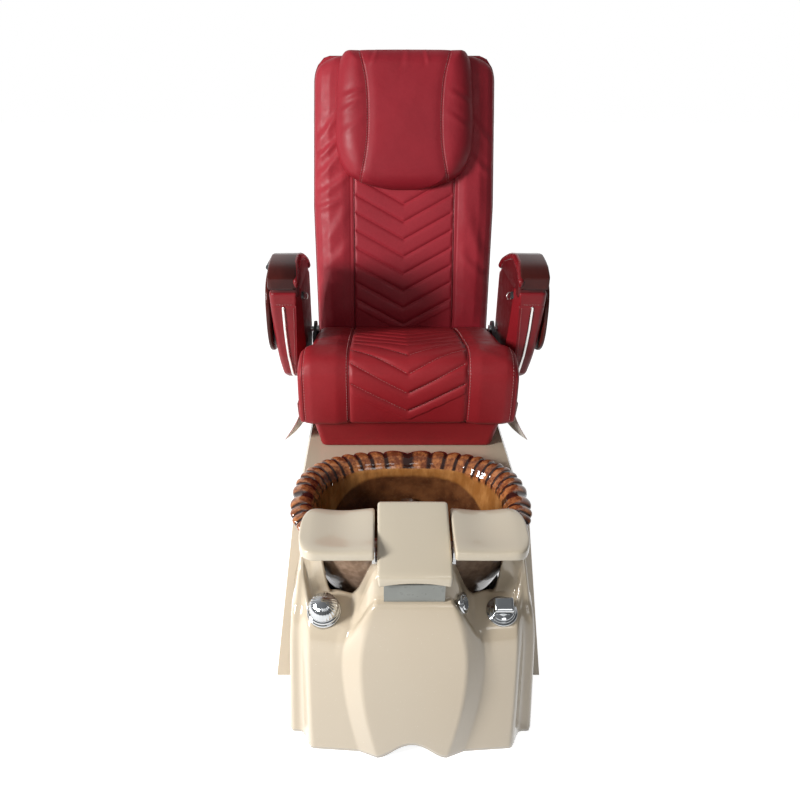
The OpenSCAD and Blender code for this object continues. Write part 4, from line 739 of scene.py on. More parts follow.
def apron():
    """One thin shell: bowed centre panel, raking facets, scooped shoulders and two steps each side."""
    wall_t, top_t = np.linspace(0, 1, 42), np.linspace(0, 1, 40)[1:] ** 1.1
    panel_n, facet_n = 16, 8
    wing = panel_n + facet_n
    kinds = [("panel", np.linspace(0, 1, panel_n + 1)), ("facet", np.linspace(0, 1, facet_n + 1)[1:]),
             ("wing", np.linspace(0, 1, 25)[1:]), ("mid", np.linspace(0, 1, 8)), ("return", [1.0])]
    columns = []
    for kind, shares in kinds:
        for s in shares:
            line = np.vstack([wall_line(kind, s, wall_t), top_line(kind, s, top_t)])
            last = line[-1].copy()
            last[1] = min(REAR_Y + REAR_LEAN - AIR, float(opening_y(last[0])))
            columns.append(np.vstack([line, last]))
    for k, line in enumerate(columns[wing + 1:-1], 1):
        round_corner(line, len(wall_t) - 1, SHOULDER_FILLET * min(1, k / 4))
    half = np.array(columns)
    full = np.concatenate([half[:0:-1] * [-1, 1, 1], half])
    column = np.abs(np.arange(len(full)) - len(half) + 1)
    loose = np.clip((column - panel_n - 1) / 2, 0, 1) * (column < len(half) - 1)
    turn = smooth(1.2 - np.abs(np.arange(full.shape[1]) - len(wall_t) + 2) / 9)[1:-1]
    for _ in range(45):
        along = (full[:, 1:-1] * 2 + full[:, :-2] + full[:, 2:]) / 4
        full[:, 1:-1] = mix(full[:, 1:-1], along, np.multiply.outer(loose, turn)[:, :, None])
    soft = ~np.isin(column[1:-1], (panel_n, wing))[:, None, None]
    for _ in range(4):
        inner = (full[1:-1] * 2 + full[:-2] + full[2:]) / 4
        full[1:-1] = mix(full[1:-1], inner, 0.5 * soft)
    local = (full - SWITCH_AT) @ switch_turn()
    well = (np.hypot(local[..., 0], local[..., 1]) < SWITCH_WELL) & (np.abs(local[..., 2]) < 12)
    full = full - SWITCH_DENT * well[..., None] * switch_turn()[:, 2]
    lip = full[:, -1:] + np.array([(0, 3, -8), (0, 5, -24), (0, 6, -48), (0, 6, -72)])
    full = np.concatenate([full, lip], axis=1)
    faces = [f[::-1] for f in grid_faces(*full.shape[:2])]
    o = piece("apron_shell", full.reshape(-1, 3), faces, "shell_beige", "base", ["front_apron"],
              "shell_beige")
    wall = o.modifiers.new("wall", "SOLIDIFY")
    wall.thickness = APRON_T * MM
    wall.offset = -1


# ---------------------------------------------------------------- base: the foot bowl

BASIN_STEPS = [(0, 0), (0.26, 4), (0.52, 12), (0.74, 24), (0.88, 42), (0.97, 70), (1, 100)]


def basin_ring(share, inset, n):
    a, b = BOWL_W / 2 - RIM_W, BOWL_L / 2 - RIM_W
    draw = float(lookup(share, BASIN_STEPS))
    p = oval(a - draw - inset, b - draw * b / a - inset, BOWL_POWER, n, (0, BOWL_Y))
    return np.column_stack([p, np.full(n, RIM_Z - share * BOWL_DEPTH)])


BOWL_BULGE, RIM_RIB, DRAIN_R = 36, 6.4, 23
RIM_SECTION = [(RIM_W * 0.16, -1, 0), (2, 3, 0.7), (-1.5, 10, 1), (2, 17, 1), (RIM_W * 0.26, 22, 1),
               (RIM_W * 0.5, 23.5, 1), (RIM_W * 0.78, 20, 0.95), (RIM_W, 12, 0.6), (RIM_W + 5, 2, 0.15)]


def outward(points):
    """Unit directions in plan from the middle of the bowl."""
    return unit(points[:, :2] - [0, BOWL_Y])


def bowl():
    """Blown glass bowl: a thick rim with rounded flutes round a deep basin, hollow under the rim."""
    n = FLUTES * 8
    phase = np.abs(np.sin(np.pi * np.arange(n) / 8))
    shares = np.concatenate([np.linspace(0.01, 0.9, 26), [0.93, 0.96, 0.985, 1.0]])
    rings, band = [], []
    for inset, z, share in spline(RIM_SECTION, 34):
        rise = RIM_RIB * (phase ** 0.6 - 0.45) * share
        p = oval(BOWL_W / 2 - inset, BOWL_L / 2 - inset, BOWL_POWER, n, (0, BOWL_Y))
        rings.append(np.column_stack([p + outward(p) * rise[:, None], RIM_Z + z + rise * 0.7]))
        band.append(np.ones(n))
    for k, share in enumerate(shares):
        ring = basin_ring(share, GLASS_T, n)
        band.append(smooth((np.abs(ring[:, 0]) - 95) / 90) * max(0, 1 - k / 3))
        ring[:, 2] += GLASS_T * smooth((share - 0.85) / 0.1)
        ring[:, :2] += outward(ring) * (1.1 * phase[:, None] - 0.5) * (1 - share) ** 2
        rings.append(ring)
    drain = oval(DRAIN_R, DRAIN_R, 2, n, (0, BOWL_Y))
    rings += [np.column_stack([drain, np.full(n, RIM_Z - BOWL_DEPTH + t)]) for t in (GLASS_T, 0)]
    first_outside = len(rings) - 1
    rings += [basin_ring(share, -BOWL_BULGE * (1 - smooth(share)), n) for share in shares[::-1]]
    faces = [f[::-1] for f in grid_faces(len(rings), n, loop_cols=True, loop_rows=True)]
    o = piece("bowl_glass", np.vstack(rings), faces, "amber_glass", "base", ["glass_bowl"], "amber_glass")
    band += [np.zeros(n)] * (len(rings) - len(band))
    shades = {"rib": np.tile(phase, len(rings)), "band": np.concatenate(band),
              "outside": np.repeat(np.arange(len(rings)) >= first_outside, n).astype(float)}
    for name, values in shades.items():
        o.data.attributes.new(name, "FLOAT", "POINT").data.foreach_set("value", values)


# ---------------------------------------------------------------- base: the foot pads

PAD_W, PAD_L, PAD_SLOPE = 150, 176, math.radians(19)
FOOT_EDGE = (BOWL_Y0 - 72, RIM_Z + RIM_H)
SIDE_PAD_W, SIDE_PAD_L, SIDE_PAD_T = 156, 144, 36
SIDE_PAD_X, SIDE_PAD_Y = PAD_W / 2 + 6, BOWL_Y0 - 48
PADS_Z = RIM_Z + RIM_H + 6


def on_slope(p):
    p = np.asarray(p, float)
    c, s = math.cos(PAD_SLOPE), math.sin(PAD_SLOPE)
    return np.stack([p[..., 0], FOOT_EDGE[0] + p[..., 1] * c - p[..., 2] * s,
                     FOOT_EDGE[1] + p[..., 1] * s + p[..., 2] * c], -1)


def pad_rings(places, outline, n=72):
    """Closed rings of a pad: places are (x, fullness), and outline(x) gives front, rear, under and top."""
    c, s = (signed_power(v, 0.42) for v in circle(n))
    rings = []
    for x, fullness in places:
        front, rear, under, top = outline(x)
        y = mix(front, rear, 0.5 + 0.5 * c * mix(0.93, 1, fullness))
        z = mix(under(y), top(y), 0.5 + 0.5 * s * mix(0.72, 1, fullness))
        rings.append(np.column_stack([np.full(n, x), y, z]))
    return rings


def rounded(x0, x1, r):
    """Places across a pad with their fullness, which falls off over both rounded ends."""
    x = stations(x0, x1, r, 44, 8)
    return zip(x, dome((x - x0) / r) * dome((x1 - x) / r))


def middle_pad():
    """Pad on the sloping foot rest, lipped over its sides, with an upright front face."""
    def outline(x):
        u = 2 * x / PAD_W
        return (-8, PAD_L, lambda y: -(24 + (1 + 14 * u ** 2) * (1 - smooth((y + 8.5) / 5.5))),
                lambda y: -2.5 * np.sin(np.pi * np.clip(y / PAD_L, 0, 1)) - 1.2 * u ** 4)
    rings = pad_rings(rounded(-PAD_W / 2, PAD_W / 2, 6), outline)
    for r in rings:
        r[:, 1] += np.minimum(0, r[:, 2]) * math.tan(PAD_SLOPE) * (1 - smooth((r[:, 1] + 10) / 40))
    shape = loft([on_slope(r) for r in rings])
    o = piece("foot_pad_middle", *shape, "pad_beige", "footrest", ["footrest_pad"], "pad_beige")


def side_pads():
    """Dished pads beside the foot rest, their outer ends rounded in plan."""
    middle = SIDE_PAD_Y + SIDE_PAD_L / 2

    def outline(x):
        u = (x - SIDE_PAD_X) / SIDE_PAD_W
        half = SIDE_PAD_L / 2 * max(0.02, 1 - max(0, (u - 0.72) / 0.28) ** 3.2) ** 0.4

        def under(y):
            return PADS_Z - 3 * (1 - smooth((y - middle + half - 8) / 22)) * smooth(half / 40)

        def top(y):
            v = np.clip((y - SIDE_PAD_Y) / SIDE_PAD_L, 0, 1)
            hollow = 0.2 * math.sin(math.pi * min(1, u * 1.15)) ** 1.5
            dish = 0.13 * np.sin(np.pi * v) + hollow * (0.35 + 0.65 * v)
            return PADS_Z + SIDE_PAD_T * (0.78 + 0.22 * smooth(v) - dish)
        return middle - half, middle + half, under, top
    shape = loft(pad_rings(rounded(SIDE_PAD_X, SIDE_PAD_X + SIDE_PAD_W, 5), outline))
    for o in both_sides("foot_pad", *shape, "pad_beige", "base", ["side_pad"], "pad_beige"):
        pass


# ---------------------------------------------------------------- base: taps and the air switch

TAP_TILT = math.atan(SHOULDER_SLOPE)
TAP_Z = SHOULDER_Z + SHOULDER_SLOPE * (TAP_Y - PANEL_LEAN) + 1
SWITCH_AT, SWITCH_TURNS, SWITCH_WELL = (100, 82, 372), (40, 62), 15.5


def switch_turn():
    """Rotation from the switch's own frame, its face along z, to the builder's frame."""
    a, b = (math.radians(t) for t in SWITCH_TURNS)
    about = np.array([[1, 0, 0], [0, math.cos(a), -math.sin(a)], [0, math.sin(a), math.cos(a)]])
    return about @ np.array([[math.cos(b), 0, math.sin(b)], [0, 1, 0], [-math.sin(b), 0, math.cos(b)]])


def turned(profile, n=96, ribs=0, depth=0.0):
    """A turned part about z from (radius, height), with a share of the rib depth where there are ribs."""
    a = np.arange(n) * 2 * np.pi / n
    rings = []
    for r, z, *share in profile:
        radius = r - depth * sum(share) * (0.5 - 0.5 * np.cos(ribs * a))
        rings.append(np.column_stack([radius * np.cos(a), radius * np.sin(a), np.full(n, z)]))
    return loft(rings)


def about_x(p, angle):
    c, s = math.cos(angle), math.sin(angle)
    return np.column_stack([p[:, 0], p[:, 1] * c - p[:, 2] * s, p[:, 1] * s + p[:, 2] * c])


def tap_piece(name, shape, body, node, x):
    verts = about_x(shape[0], TAP_TILT) + [x, TAP_Y, TAP_Z]
    piece(name, verts, shape[1], "chrome", body, [node], "chrome")


KNOB = [(33.2, 6.5), (34.4, 7.4), (34.8, 10), (34.4, 13.6), (33.2, 15.2), (30.6, 15.8), (30.6, 17.6),
        (31.8, 18.4, 0.4), (32, 21, 1), (31.2, 26, 1), (29, 31, 1), (25, 36, 1), (19, 40.5, 0.8),
        (11.5, 44, 0.5), (4.5, 46, 0.15), (0.8, 46.5)]
MIXER_FLANGE = [(36.5, -8), (36.5, 2.2), (36, 4.4), (34.4, 5.8), (20, 6)]
DIVERTER_FLANGE = [(33, -8), (33, 2), (32.2, 3.2), (28.6, 3.6), (28, 5.2), (27, 6), (14, 6)]
LEVER_BOSS = [(24.4, 6.5), (25, 7.6), (25, 10.4), (24, 11.6), (16, 12), (14.6, 13), (14.6, 18)]
LEVER_BLOCK = [(14, 12, -9, 8), (15, 16.5, -12, 10), (16.5, 19, -13.6, 11.4), (19, 20, -14.4, 12),
               (30, 20, -15.4, 12), (39, 20, -16.4, 12), (41.6, 19, -15.6, 11.2), (42.8, 17, -13.6, 9.4)]
BEZEL = [(21.4, -3), (21.4, 4.2), (20.6, 5.5), (18.6, 6), (16.6, 5.6), (15.8, 4.4), (15.7, 0.3)]
BUTTON = [(14.6, 3.8), (15, 4.2), (15, 6.2), (14.3, 7.6), (13, 8.2)]
BUTTON += [(r, 8.4) for r in np.linspace(12, 1, 14)]
RIDGE, RIDGE_PITCH, LEVER_RAKE = 0.9, 5.2, 0.34


def taps():
    """Fluted mixer knob, block lever on a stepped flange, and the ridged air switch."""
    tap_piece("mixer_knob_chrome", turned(KNOB, n=168, ribs=28, depth=1.1), "mixer", "mixer_knob", -TAP_X)
    tap_piece("mixer_flange_chrome", turned(MIXER_FLANGE), "base", "mixer_flange", -TAP_X)
    tap_piece("diverter_flange_chrome", turned(DIVERTER_FLANGE), "base", "diverter_flange", TAP_X)
    block = []
    for z, half, front, rear in LEVER_BLOCK:
        ring = rounded_box(-half, half, front, rear, 3.2)
        block.append(np.column_stack([ring, z + LEVER_RAKE * (ring[:, 1] - 4) * (z - 14) / 30]))
    lever = join(turned(LEVER_BOSS), loft(block))
    tap_piece("diverter_lever_chrome", lever, "diverter", "diverter_lever", TAP_X)
    button = turned(BUTTON)
    top = button[0][:, 2] > BUTTON[-1][1] - 0.1
    button[0][top, 2] += RIDGE * np.cos(button[0][top, 0] * 2 * np.pi / RIDGE_PITCH)
    for name, (v, f), body, node in (("switch_bezel_chrome", turned(BEZEL), "base", "switch_bezel"),
                                     ("switch_button_chrome", button, "air_button", "switch_button")):
        piece(name, v @ switch_turn().T + SWITCH_AT, f, "chrome", body, [node], "chrome")


# ---------------------------------------------------------------- upholstery

SEAT_Y, SEAT_L, SEAT_H, SEAT_FALL = 548, 456, 186, 84
SEAT_HALF, SEAT_REAR_HALF, BOLSTER_L = 276, 256, 96
BOARD_Z = DECK_Z + 75
CUSHION_Z = BOARD_Z + 10 + AIR
INSERT_HALF = 148
CHEVRON_PITCH, CHEVRON_RISE = 51, 81

BACK_L, BACK_T, BACK_CROWN, BACK_CORNER = 803, 70, 12, 70
BACK_LEAN = math.radians(14)
BACK_FOOT = (SEAT_Y + 461, BOARD_Z + 78)
SHELL_D = 55
PILLOW_W, PILLOW_L, PILLOW_T = 398, 372, 66


def on_back(p):
    """From the backrest's own frame, its front face on y = 0 and its foot on z = 0."""
    p = np.asarray(p, float)
    c, s = math.cos(BACK_LEAN), math.sin(BACK_LEAN)
    return np.stack([p[..., 0], BACK_FOOT[0] + p[..., 1] * c + p[..., 2] * s,
                     BACK_FOOT[1] - p[..., 1] * s + p[..., 2] * c], -1)


def roll(d, radius):
    """Depth of a rounded edge at a distance d in from it."""
    return radius * (1 - dome(d / radius))


def channels(along, x, first, count=99):
    """Sewn chevrons: depth of the sewn lines and the swell between them, at lengths along and places x."""
    t = (along - first - CHEVRON_RISE * np.abs(x) / INSERT_HALF) / CHEVRON_PITCH
    inside = smooth((INSERT_HALF - 3 - np.abs(x)) / 6)
    line = np.abs(t - np.round(t)) * CHEVRON_PITCH
    valid = (np.round(t) > -0.5) & (np.round(t) < count - 0.5)
    within = (t > -0.5) & (t < count - 0.5)
    groove = np.where(valid, 2.6 * bump(line, 1.9) + 1.6 * bump(line, 6.5), 0)
    swell = 1.8 * (1 - (1 - np.minimum(1, line / (CHEVRON_PITCH / 2))) ** 2.4)
    return inside * (groove - np.where(within, swell, 0))


def seam(x, at, depth=3.5, width=3.0):
    return depth * bump(x - at, width)


def folds(a, b, marks):
    """Height of creases in a cover; each mark is (a, b, angle, length, width, height)."""
    out = np.zeros(np.shape(a))
    for a0, b0, angle, length, width, height in marks:
        c, s = math.cos(math.radians(angle)), math.sin(math.radians(angle))
        u, v = (a - a0) * c + (b - b0) * s, -(a - a0) * s + (b - b0) * c
        bend = v - 0.0016 * u * u
        ridge = bump(bend, width) - 0.6 * bump(bend - 1.7 * width, width)
        out += height * np.exp(-(u / length) ** 4) * ridge
    return out


SEAT_PROFILE = [(12, 2), (3, 16), (-2, 68), (-1, 128), (8, SEAT_H - 32), (27, SEAT_H - 11), (60, SEAT_H - 4),
                (96, SEAT_H - 6), (152, SEAT_H - 19), (302, SEAT_H - 19 - 0.36 * SEAT_FALL),
                (SEAT_L - 14, SEAT_H - SEAT_FALL - 6), (SEAT_L, SEAT_H - SEAT_FALL - 20)]
SEAT_SEAM_X, SEAT_FIRST_CHEVRON, SEAT_RADIUS = 264, 44, 27
SEAT_FOLDS = [(-215, 178, 25, 60, 12, 1.0), (214, 188, -30, 55, 12, 1.0), (-190, 300, 8, 70, 12, 1.4),
              (196, 320, -12, 80, 12, 1.6)]


def seat_cushion():
    """Waterfall seat: crowned over the bolster, sewn chevrons in the insert, stitched side seams."""
    line = spline(SEAT_PROFILE, 380) + [SEAT_Y, CUSHION_Z]
    inward, run = sideways(line), run_of(line)
    edge = mix(12, SEAT_RADIUS, smooth((run - 125) / 60))
    half = mix(SEAT_HALF, SEAT_REAR_HALF, smooth((line[:, 0] - SEAT_Y - BOLSTER_L + 12) / 20))
    shares = stations(-1, 1, SEAT_RADIUS / SEAT_HALF, 150)
    under = np.linspace(0, 1, 26)[1:-1]
    rings, tops = [], []
    for u in shares:
        x = u * half
        side = np.abs(x)
        dent = roll((1 - abs(u)) * SEAT_HALF, edge)
        dent -= 5 * (1 - abs(u) ** 3) * np.sin(np.pi * np.clip(run / run[-1], 0, 1)) ** 0.5
        dent += channels(run, x, SEAT_FIRST_CHEVRON) + seam(side, INSERT_HALF, 3.4, 2.0)
        dent += seam(side, INSERT_HALF, 1.6, 8) + seam(side, SEAT_SEAM_X, 1.8, 1.8)
        dent -= 3.5 * smooth((side - INSERT_HALF - 6) / 30) * smooth((SEAT_SEAM_X - side) / 25)
        dent -= folds(x, run, SEAT_FOLDS) + 0.9 * fbm(np.column_stack([x, run, 0 * run]), 90, 2, 2)
        tops.append(np.column_stack([x, line + inward * dent[:, None]]))
        low_x = u * mix(half[-1], half[0], under) - np.sign(u) * 9 * smooth((abs(u) - 0.86) / 0.1)
        low_y = mix(tops[-1][-1, 1] - 14, tops[-1][0, 1] + 16, under)
        low_z = CUSHION_Z + 1.2 - 0.6 * np.sin(np.pi * under)
        rings.append(np.vstack([tops[-1], np.column_stack([low_x, low_y, low_z])]))
    o = piece("seat_upholstery", *loft(rings), "seat_leather", "seat", ["seat_cushion"], "seat_leather")
    grid, out = np.array(tops), np.column_stack([0 * run, -inward])

    def sewn(x, along, proud):
        """Points proud of the seat at a place across and a length along it, with the way up from there."""
        up = sample(out, run, along)
        return surface_at(grid, shares, run, x / np.interp(along, run, half), along) + up * proud, up
    threads, welts = [], []
    whole = np.linspace(14, run[-1] - 18, 220)
    away = np.linspace(2, INSERT_HALF - 5, 60)
    for side in (-1, 1):
        for x in (INSERT_HALF + 5.5, SEAT_SEAM_X - 4.5):
            threads.append(stitches(*sewn(side * x + 0 * whole, whole, 0.5)))
        for x, proud, radius in ((INSERT_HALF, 0.6, 1.5), (SEAT_SEAM_X, 0.5, 1.2)):
            welts.append(tube(sewn(side * x + 0 * whole, whole, proud)[0], radius))
        for first in SEAT_FIRST_CHEVRON + CHEVRON_PITCH * np.arange(11):
            along = first + CHEVRON_RISE * away / INSERT_HALF
            if along[-1] < run[-1] - 20:
                threads.append(stitches(*sewn(side * away, along, 0.9), 4.2, 3.4, 0.42))
    piece("seat_welts", *join(*welts), "welt", "seat", slot="seat_leather")
    piece("seat_stitches", *join(*threads), "thread", "seat", slot="seat_leather")


BACK_WIDTH = [(0, 260), (0.48, 268), (0.75, 263), (1, 258)]
BACK_RADIUS, BACK_TURN, BACK_FIRST_CHEVRON, BACK_CHEVRONS = 30, 45, 33, 9


def back_half(z):
    return lookup(z / BACK_L, BACK_WIDTH) - BACK_CORNER * 0.6 * (1 - dome((BACK_L - z) / BACK_CORNER))


BACK_FOLDS = [(-222, 600, 50, 46, 10, 3.6), (-226, 540, 38, 46, 9, 4.0), (-214, 500, 46, 60, 11, 4.2),
              (-206, 440, 34, 60, 12, 3.6), (-224, 385, 20, 40, 10, 2.8), (-196, 330, 56, 60, 14, 2.2),
              (-205, 230, 40, 60, 14, 2.0), (222, 590, -50, 50, 10, 2.8), (218, 500, -40, 50, 11, 2.8),
              (206, 300, -72, 80, 15, 2.4), (214, 200, -40, 50, 12, 2.6), (200, 110, -20, 60, 12, 1.8)]


BACK_LAYERS = [(34, 0.2), (42, 0.0), (50, 0.2), (58, 1.2), (64, 3.5), (BACK_T - 1.5, 8), (BACK_T - 0.6, 22)]


def back_cushion():
    """Back cover: plump side panels, a chevron insert between welts, rolled edges all round."""
    widest = BACK_WIDTH[1][1]
    shares = stations(-1, 1, BACK_RADIUS / widest, 170)
    z, u = np.meshgrid(stations(0, BACK_L, BACK_RADIUS, 400), shares, indexing="ij")
    half = back_half(z)
    x = u * half
    side = np.abs(x)
    past_side, past_top = side - half + BACK_TURN, z - BACK_L + BACK_TURN
    corner = np.hypot(np.maximum(0, past_side), np.maximum(0, past_top))
    d = np.minimum(np.minimum((1 - np.abs(u)) * half, z), BACK_L - z)
    d = np.where((past_side > 0) & (past_top > 0), np.minimum(d, BACK_TURN - corner), d)
    y = roll(np.maximum(d, 0), BACK_RADIUS) * 0.9
    y -= BACK_CROWN * smooth(z / 90) * (1 - (side / half) ** 4) * smooth((BACK_L - z) / 60)
    y += channels(z, x, BACK_FIRST_CHEVRON, BACK_CHEVRONS) * smooth((z - 4) / 30)
    y += (seam(side, INSERT_HALF, 3.6, 2.0) + seam(side, INSERT_HALF + 10, 1.6, 2.0)) * smooth(z / 40)
    y -= 6.5 * smooth((side - INSERT_HALF - 4) / 34) * smooth((half - 22 - side) / 26) * smooth(z / 80)
    y += seam(side, half - 13, 2.2, 2.4) * smooth(z / 40) * smooth((BACK_L - 30 - z) / 30)
    flat = np.stack([x, z, 0 * x], -1)
    y -= folds(x, z, BACK_FOLDS) * smooth((side - 130) / 30)
    y -= (2.2 * fbm(flat, 95, 3, 2) + 0.5 * fbm(flat, 30, 7, 2)) * smooth((side - INSERT_HALF - 8) / 30)
    front = np.stack([x, y, z], -1)
    layers, faces, ring = [front.reshape(-1, 3)], grid_faces(*z.shape), border(*z.shape)
    loop = layers[0][ring]
    out = unit((loop - [0, 0, BACK_L / 2]) * [1, 0, 1])
    for k, (depth, draw) in enumerate(BACK_LAYERS):
        puff = 1.2 * fbm(np.column_stack([loop[:, 0], loop[:, 2], np.full(len(loop), depth)]), 60, 4)
        layer = loop + out * (np.minimum(0, puff) - draw)[:, None]
        layer[:, 1] = np.maximum(depth, loop[:, 1] + 1) if k == 0 else depth
        layers.append(layer)
        new = z.size + k * len(loop) + np.arange(len(loop))
        faces += bridge(ring, new)
        ring = new
    faces.append(ring[::-1].tolist())
    o = piece("back_upholstery", on_back(np.vstack(layers)), [f[::-1] for f in faces], "back_leather",
              "backrest", ["back_cushion"], "back_leather")
    for sign, name in ((1, "left"), (-1, "right")):
        col = int(np.argmin(np.abs(shares * widest - sign * INSERT_HALF)))
        path = front[6:-8, col] + [0, -1.4, 0]
        path[:, 0] = sign * INSERT_HALF
        welt = tube(on_back(spline(path[::10], 160)), 1.5)
        piece(f"back_welt_{name}", *welt, "welt", "backrest", slot="back_leather")
    rim = loop + out * 0.2
    rim[:, 1] = 31
    rim = tube(on_back(rim[::4]), 2.6, closed=True)
    piece("back_welt_rim", *rim, "welt", "backrest", slot="back_leather")


PILLOW_SEAM = [(0, 0.68), (0.1, 0.62), (0.3, 0.545), (0.52, 0.52), (0.78, 0.545), (1, 0.64)]
PILLOW_OUTLINE = [(0, 0.2), (0.012, 0.34), (0.035, 0.52), (0.065, 0.67), (0.11, 0.81), (0.16, 0.885),
                  (0.23, 0.95), (0.34, 0.995), (0.5, 1.0), (0.67, 0.985), (0.83, 0.965), (0.93, 0.93),
                  (0.98, 0.89), (1, 0.86)]
PILLOW_FOLDS = [(-158, 250, 16, 44, 9, 2.6), (-164, 215, 24, 36, 8, 2.0), (-150, 165, 30, 40, 10, 1.6),
                (160, 240, -20, 40, 9, 2.2), (152, 180, -28, 40, 9, 1.8), (-84, 352, 70, 26, 6, 1.6),
                (60, 354, 100, 26, 6, 1.4), (4, 350, 84, 30, 8, 1.2)]


def head_pillow():
    """Head pillow in three sewn panels, plump below, drawn into its flap over the top of the back."""
    shape, seam_line = spline(PILLOW_OUTLINE, 400), spline(PILLOW_SEAM, 200)
    t = np.concatenate([edge_steps(0.1, 30), np.linspace(0.1, 0.94, 150)[1:-1],
                        1 - edge_steps(0.06, 12)[::-1]])
    shares = stations(-1, 1, 0.16, 130)
    tt, u = np.meshgrid(t, shares, indexing="ij")
    half = lookup(tt, shape) * PILLOW_W / 2
    x, z = u * half, tt * PILLOW_L
    d = np.minimum((1 - np.abs(u)) * half, np.minimum(z * 1.1 + 1, (PILLOW_L - z) * 1.3 + 14))
    d = np.where(tt < 0.3, np.minimum(d, 1.1 * np.hypot(half * (1 - np.abs(u)), z * 0.8)), d)
    swell = mix(0.86, 1.0, np.sin(np.pi * np.clip(tt, 0, 1)) ** 0.6)
    y = -(PILLOW_T - 5) * dome(d / 66) * swell * (0.9 + 0.1 * (1 - u * u))
    away = np.abs(x) - lookup(tt, seam_line) * PILLOW_W / 2
    y += 2.6 * bump(away, 1.9) * smooth(d / 10) + 3.4 * bump(away, 15) * smooth(d / 20)
    flat = np.stack([x, z, 0 * x], -1)
    y -= folds(x, z, PILLOW_FOLDS) * smooth(d / 25)
    y -= (1.5 * fbm(flat, 120, 11, 2) + 0.25 * fbm(flat, 30, 13, 2)) * smooth(d / 16)
    rear, high = -BACK_CROWN - AIR - 0.6, z + BACK_L - PILLOW_L
    front = np.stack([x, rear + np.clip(y, -(PILLOW_T + 2.0), -0.6), high], -1)
    verts, faces = flipped(shell(front, np.stack([x, rear + 0 * x, high], -1)))
    o = piece("head_pillow_cover", on_back(verts), faces, "pillow_leather", "backrest", ["head_pillow"],
              "pillow_leather")
    at = np.linspace(0.02, 0.985, 200)
    threads = []
    for side in (-1, 1):
        for offset in (-3.2, 3.2):
            x = lookup(at, seam_line) * PILLOW_W / 2 + offset
            u = side * x / (lookup(at, shape) * PILLOW_W / 2)
            line = on_back(surface_at(front, t, shares, at, u) + [0, -0.3, 0])
            threads.append(stitches(line, (0, -math.cos(BACK_LEAN), math.sin(BACK_LEAN)), 4.6, 2.4, 0.42))
    piece("head_pillow_stitches", *join(*threads), "thread", "backrest", slot="pillow_leather")


def pillow_flap():
    """Flap of the pillow that lies over the top of the back and hangs behind it."""
    flap_y, top = BACK_T + SHELL_D + 1, BACK_L + AIR
    line = spline([(-BACK_CROWN - 42, BACK_L - 16), (-BACK_CROWN - 22, BACK_L - 1),
                   (-BACK_CROWN + 6, top + 3.6), (20, top + 5), (70, top + 5), (flap_y - 6, top + 4.2),
                   (flap_y + 3, top - 4), (flap_y + 4, top - 40), (flap_y + 4, top - 84)], 70)
    up = -sideways(line)
    width = PILLOW_W * np.linspace(0.40, 0.34, len(line))
    rings = []
    for s in np.linspace(-1, 1, 45):
        flat = np.column_stack([np.full(len(line), s * 150), np.arange(len(line)) * 4.0, 0 * width])
        upper = line + up * (0.8 * fbm(flat, 60, 6) - 1.6 * abs(s) ** 8)[:, None]
        rings.append(np.vstack([np.column_stack([s * width, upper]),
                                np.column_stack([s * width, upper - up * 3.2])[::-1]]))
    verts, faces = loft(rings, ())
    piece("head_pillow_flap", on_back(verts), faces, "pillow_leather", "backrest", slot="pillow_leather")


# ---------------------------------------------------------------- skirt, side covers and arms

def seat_skirt():
    """Leather skirt under the waterfall front, with a stitched hem."""
    corner, wall = 16, 2.6
    rings = []
    for t in np.concatenate([[0, 0.02, 0.05, 0.1], np.linspace(0.16, 1, 14)]):
        half, front = mix(226, 243, t), mix(592, 570, t)
        right = [(half, y) for y in np.linspace(780, front + corner, 22)]
        right += [(half - corner + corner * math.cos(a), front + corner - corner * math.sin(a))
                  for a in np.linspace(0, np.pi / 2, 10)[1:]]
        right += [(x, front) for x in np.linspace(half - corner, 0, 26)[1:]]
        outer = np.array(right + [(-x, y) for x, y in right[-2::-1]])
        z = np.full(len(outer), mix(DECK_Z + 2.5, CUSHION_Z - AIR, t))
        crease = np.abs(fbm(np.column_stack([run_of(outer), z, 0 * z]), 60, 21)) * math.sin(math.pi * t)
        outer = outer - sideways(outer) * (crease + 1.2 * bump(t - 0.1, 0.035))[:, None]
        inner = outer + sideways(outer) * wall
        rings.append(np.vstack([np.column_stack([outer, z]), np.column_stack([inner, z])[::-1]]))
    r, c = len(rings), len(rings[0])
    faces = grid_faces(r, c, loop_cols=True)
    for base, step in ((0, -1), ((r - 1) * c, 1)):
        for k in range(c // 2 - 1):
            faces.append([base + k, base + k + 1, base + c - 2 - k, base + c - 1 - k][::step])
    piece("skirt_panel", np.vstack(rings), faces, "skirt_leather", "seat", ["seat_skirt"], "skirt_leather")


ARM_X0, ARM_X1, ARM_Y, ARM_L, ARM_RECESS = 271, 350, 654, 311, 4.4
ARM_TOP = 845
ARM_FRONT = [(-285, 134), (-278, 118), (-262, 100), (-195, 66), (-108, 36), (-25, 14), (0, 10)]
ARM_REAR = [(-285, 152), (-262, 276), (-215, 311), (-60, 309), (-33, 306), (0, 256)]
ARM_INNER = [(-285, 29), (-200, 22), (-108, 15), (0, 8)]
ARM_OUTER = [(-285, -18), (-272, -11), (-225, -6), (-150, -2), (-60, 0), (0, 0)]
CAP_CREST = [(0, 45), (36, 65), (86, 74), (116, 73), (176, 58), (266, 23), (ARM_L, -6)]
TRIM = [(-37, 45), (-60, 45), (-108, 46), (-150, 46), (-195, 45), (-240, 43), (-278, 41)]


def arm_front(z):
    return ARM_Y + lookup(z, ARM_FRONT)


def arm_rear(z):
    return ARM_Y + lookup(z, ARM_REAR)


def arm_inner(z):
    return ARM_X0 + lookup(z, ARM_INNER)


